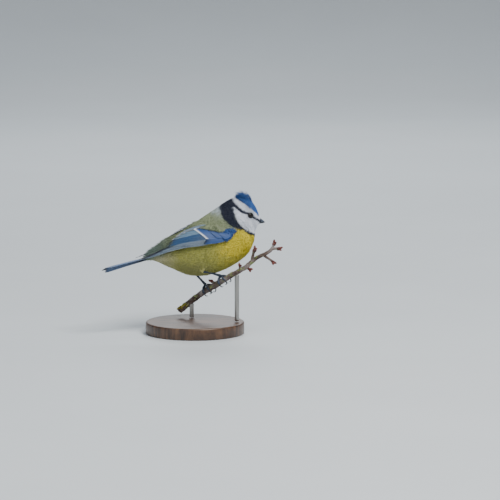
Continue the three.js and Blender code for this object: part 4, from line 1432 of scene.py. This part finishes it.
def make_stand():
    ease = BASE_EASE
    corners = [(0, 0), (BASE_RADIUS - ease / 2, 0), (BASE_RADIUS, ease / 2)]
    for k in range(9):
        angle = math.pi / 2 * k / 8
        across = BASE_RADIUS - ease + ease * math.cos(angle)
        corners.append((across, BASE_HEIGHT - ease + ease * math.sin(angle)))
    corners.append((0, BASE_HEIGHT))
    bm = bmesh.new()
    line, edges = strung(bm, [(x, 0, z) for x, z in corners])
    bmesh.ops.spin(
        bm, geom=line + edges, axis=(0, 0, 1), cent=(0, 0, 0), steps=144, angle=2 * math.pi, use_merge=True
    )
    bmesh.ops.remove_doubles(bm, verts=bm.verts, dist=1e-4)
    bmesh.ops.recalc_face_normals(bm, faces=bm.faces)
    base = piece("base_disc", bm, FINISH["wood"], ("stand_base",))
    for face in base.data.polygons:
        face.use_smooth = abs(face.normal.z) < 0.98
    for number, top in enumerate(ROD_TOPS, 1):
        low, high = (np.array(corner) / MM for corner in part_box(f"stand_rod_{number}"))
        middle = (low + high) / 2
        heights = np.linspace(low[2], top, 5)
        line = [(middle[0], middle[1], height) for height in heights]
        rod = limb(line, [ROD_RADIUS] * 5, 48, 40, ends=(0.02, 0.02))
        piece(f"rod_{number}", rod, FINISH["steel"], (f"stand_rod_{number}",))


def make_studio():
    """A pale floor that sweeps up behind the bird, soft light and the camera."""
    profile = [(FLOOR_START, 0.0), (FLOOR_END, 0.0)]
    for k in range(1, 13):
        angle = math.pi / 2 * k / 12
        profile.append((FLOOR_END + SWEEP * math.sin(angle), SWEEP - SWEEP * math.cos(angle)))
    profile.append((FLOOR_END + SWEEP, WALL_HEIGHT))
    bm = bmesh.new()
    _, edges = strung(bm, [(-FLOOR_SIDE, y, z) for y, z in profile])
    made = bmesh.ops.extrude_edge_only(bm, edges=edges)
    copied = [item for item in made["geom"] if isinstance(item, bmesh.types.BMVert)]
    bmesh.ops.translate(bm, vec=(2 * FLOOR_SIDE, 0, 0), verts=copied)
    turn = Matrix.Rotation(math.radians(AZIMUTH), 3, "Z")
    bmesh.ops.rotate(bm, verts=bm.verts, cent=(0, 0, 0), matrix=turn)
    bm.normal_update()
    if sum(face.normal.z for face in bm.faces) < 0:
        bmesh.ops.reverse_faces(bm, faces=bm.faces)
    floor = added("floor", as_mesh("floor", bm))
    floor.data.materials.append(FINISH["floor"])

    def light(name, place, energy, size, colour):
        data = bpy.data.lights.new(name, "AREA")
        data.energy = energy
        data.size = size
        data.color = colour
        lamp = added(name, data)
        lamp.location = place
        aim = Vector(LIT_PLACE) - Vector(place)
        lamp.rotation_euler = aim.to_track_quat("-Z", "Y").to_euler()

    light("key", (0.35, -0.9, 1.3), 30.0, 0.7, (1.0, 0.98, 0.95))
    light("fill", (-1.2, -0.8, 0.6), 4.0, 1.2, (0.92, 0.96, 1.0))
    light("rim", (0.4, 1.2, 1.0), 12.0, 0.8, (0.95, 0.98, 1.0))
    world = bpy.data.worlds.new("studio")
    world.use_nodes = True
    sky = world.node_tree.nodes["Background"].inputs
    sky["Color"].default_value = (0.8, 0.88, 1.0, 1.0)
    sky["Strength"].default_value = 0.3
    bpy.context.scene.world = world

    back = np.cross(VIEW[0], VIEW[1])
    aim = VIEW[0] * PICTURE_CENTRE[0] + VIEW[1] * PICTURE_CENTRE[1]
    data = bpy.data.cameras.new("camera")
    data.sensor_width = SENSOR
    data.lens = SENSOR * CAMERA_AWAY / PICTURE_WIDTH
    data.clip_end = FARTHEST
    camera = added("camera", data)
    camera.location = Vector((aim + back * CAMERA_AWAY) * MM)
    camera.rotation_euler = Vector(-back).to_track_quat("-Z", "Y").to_euler()
    bpy.context.scene.camera = camera


make_studio()
make_skin()
make_coat()
make_eyes()
make_bill()
make_wings()
make_scapulars()
make_thighs()
make_tail()
make_legs()
make_perch()
make_stand()
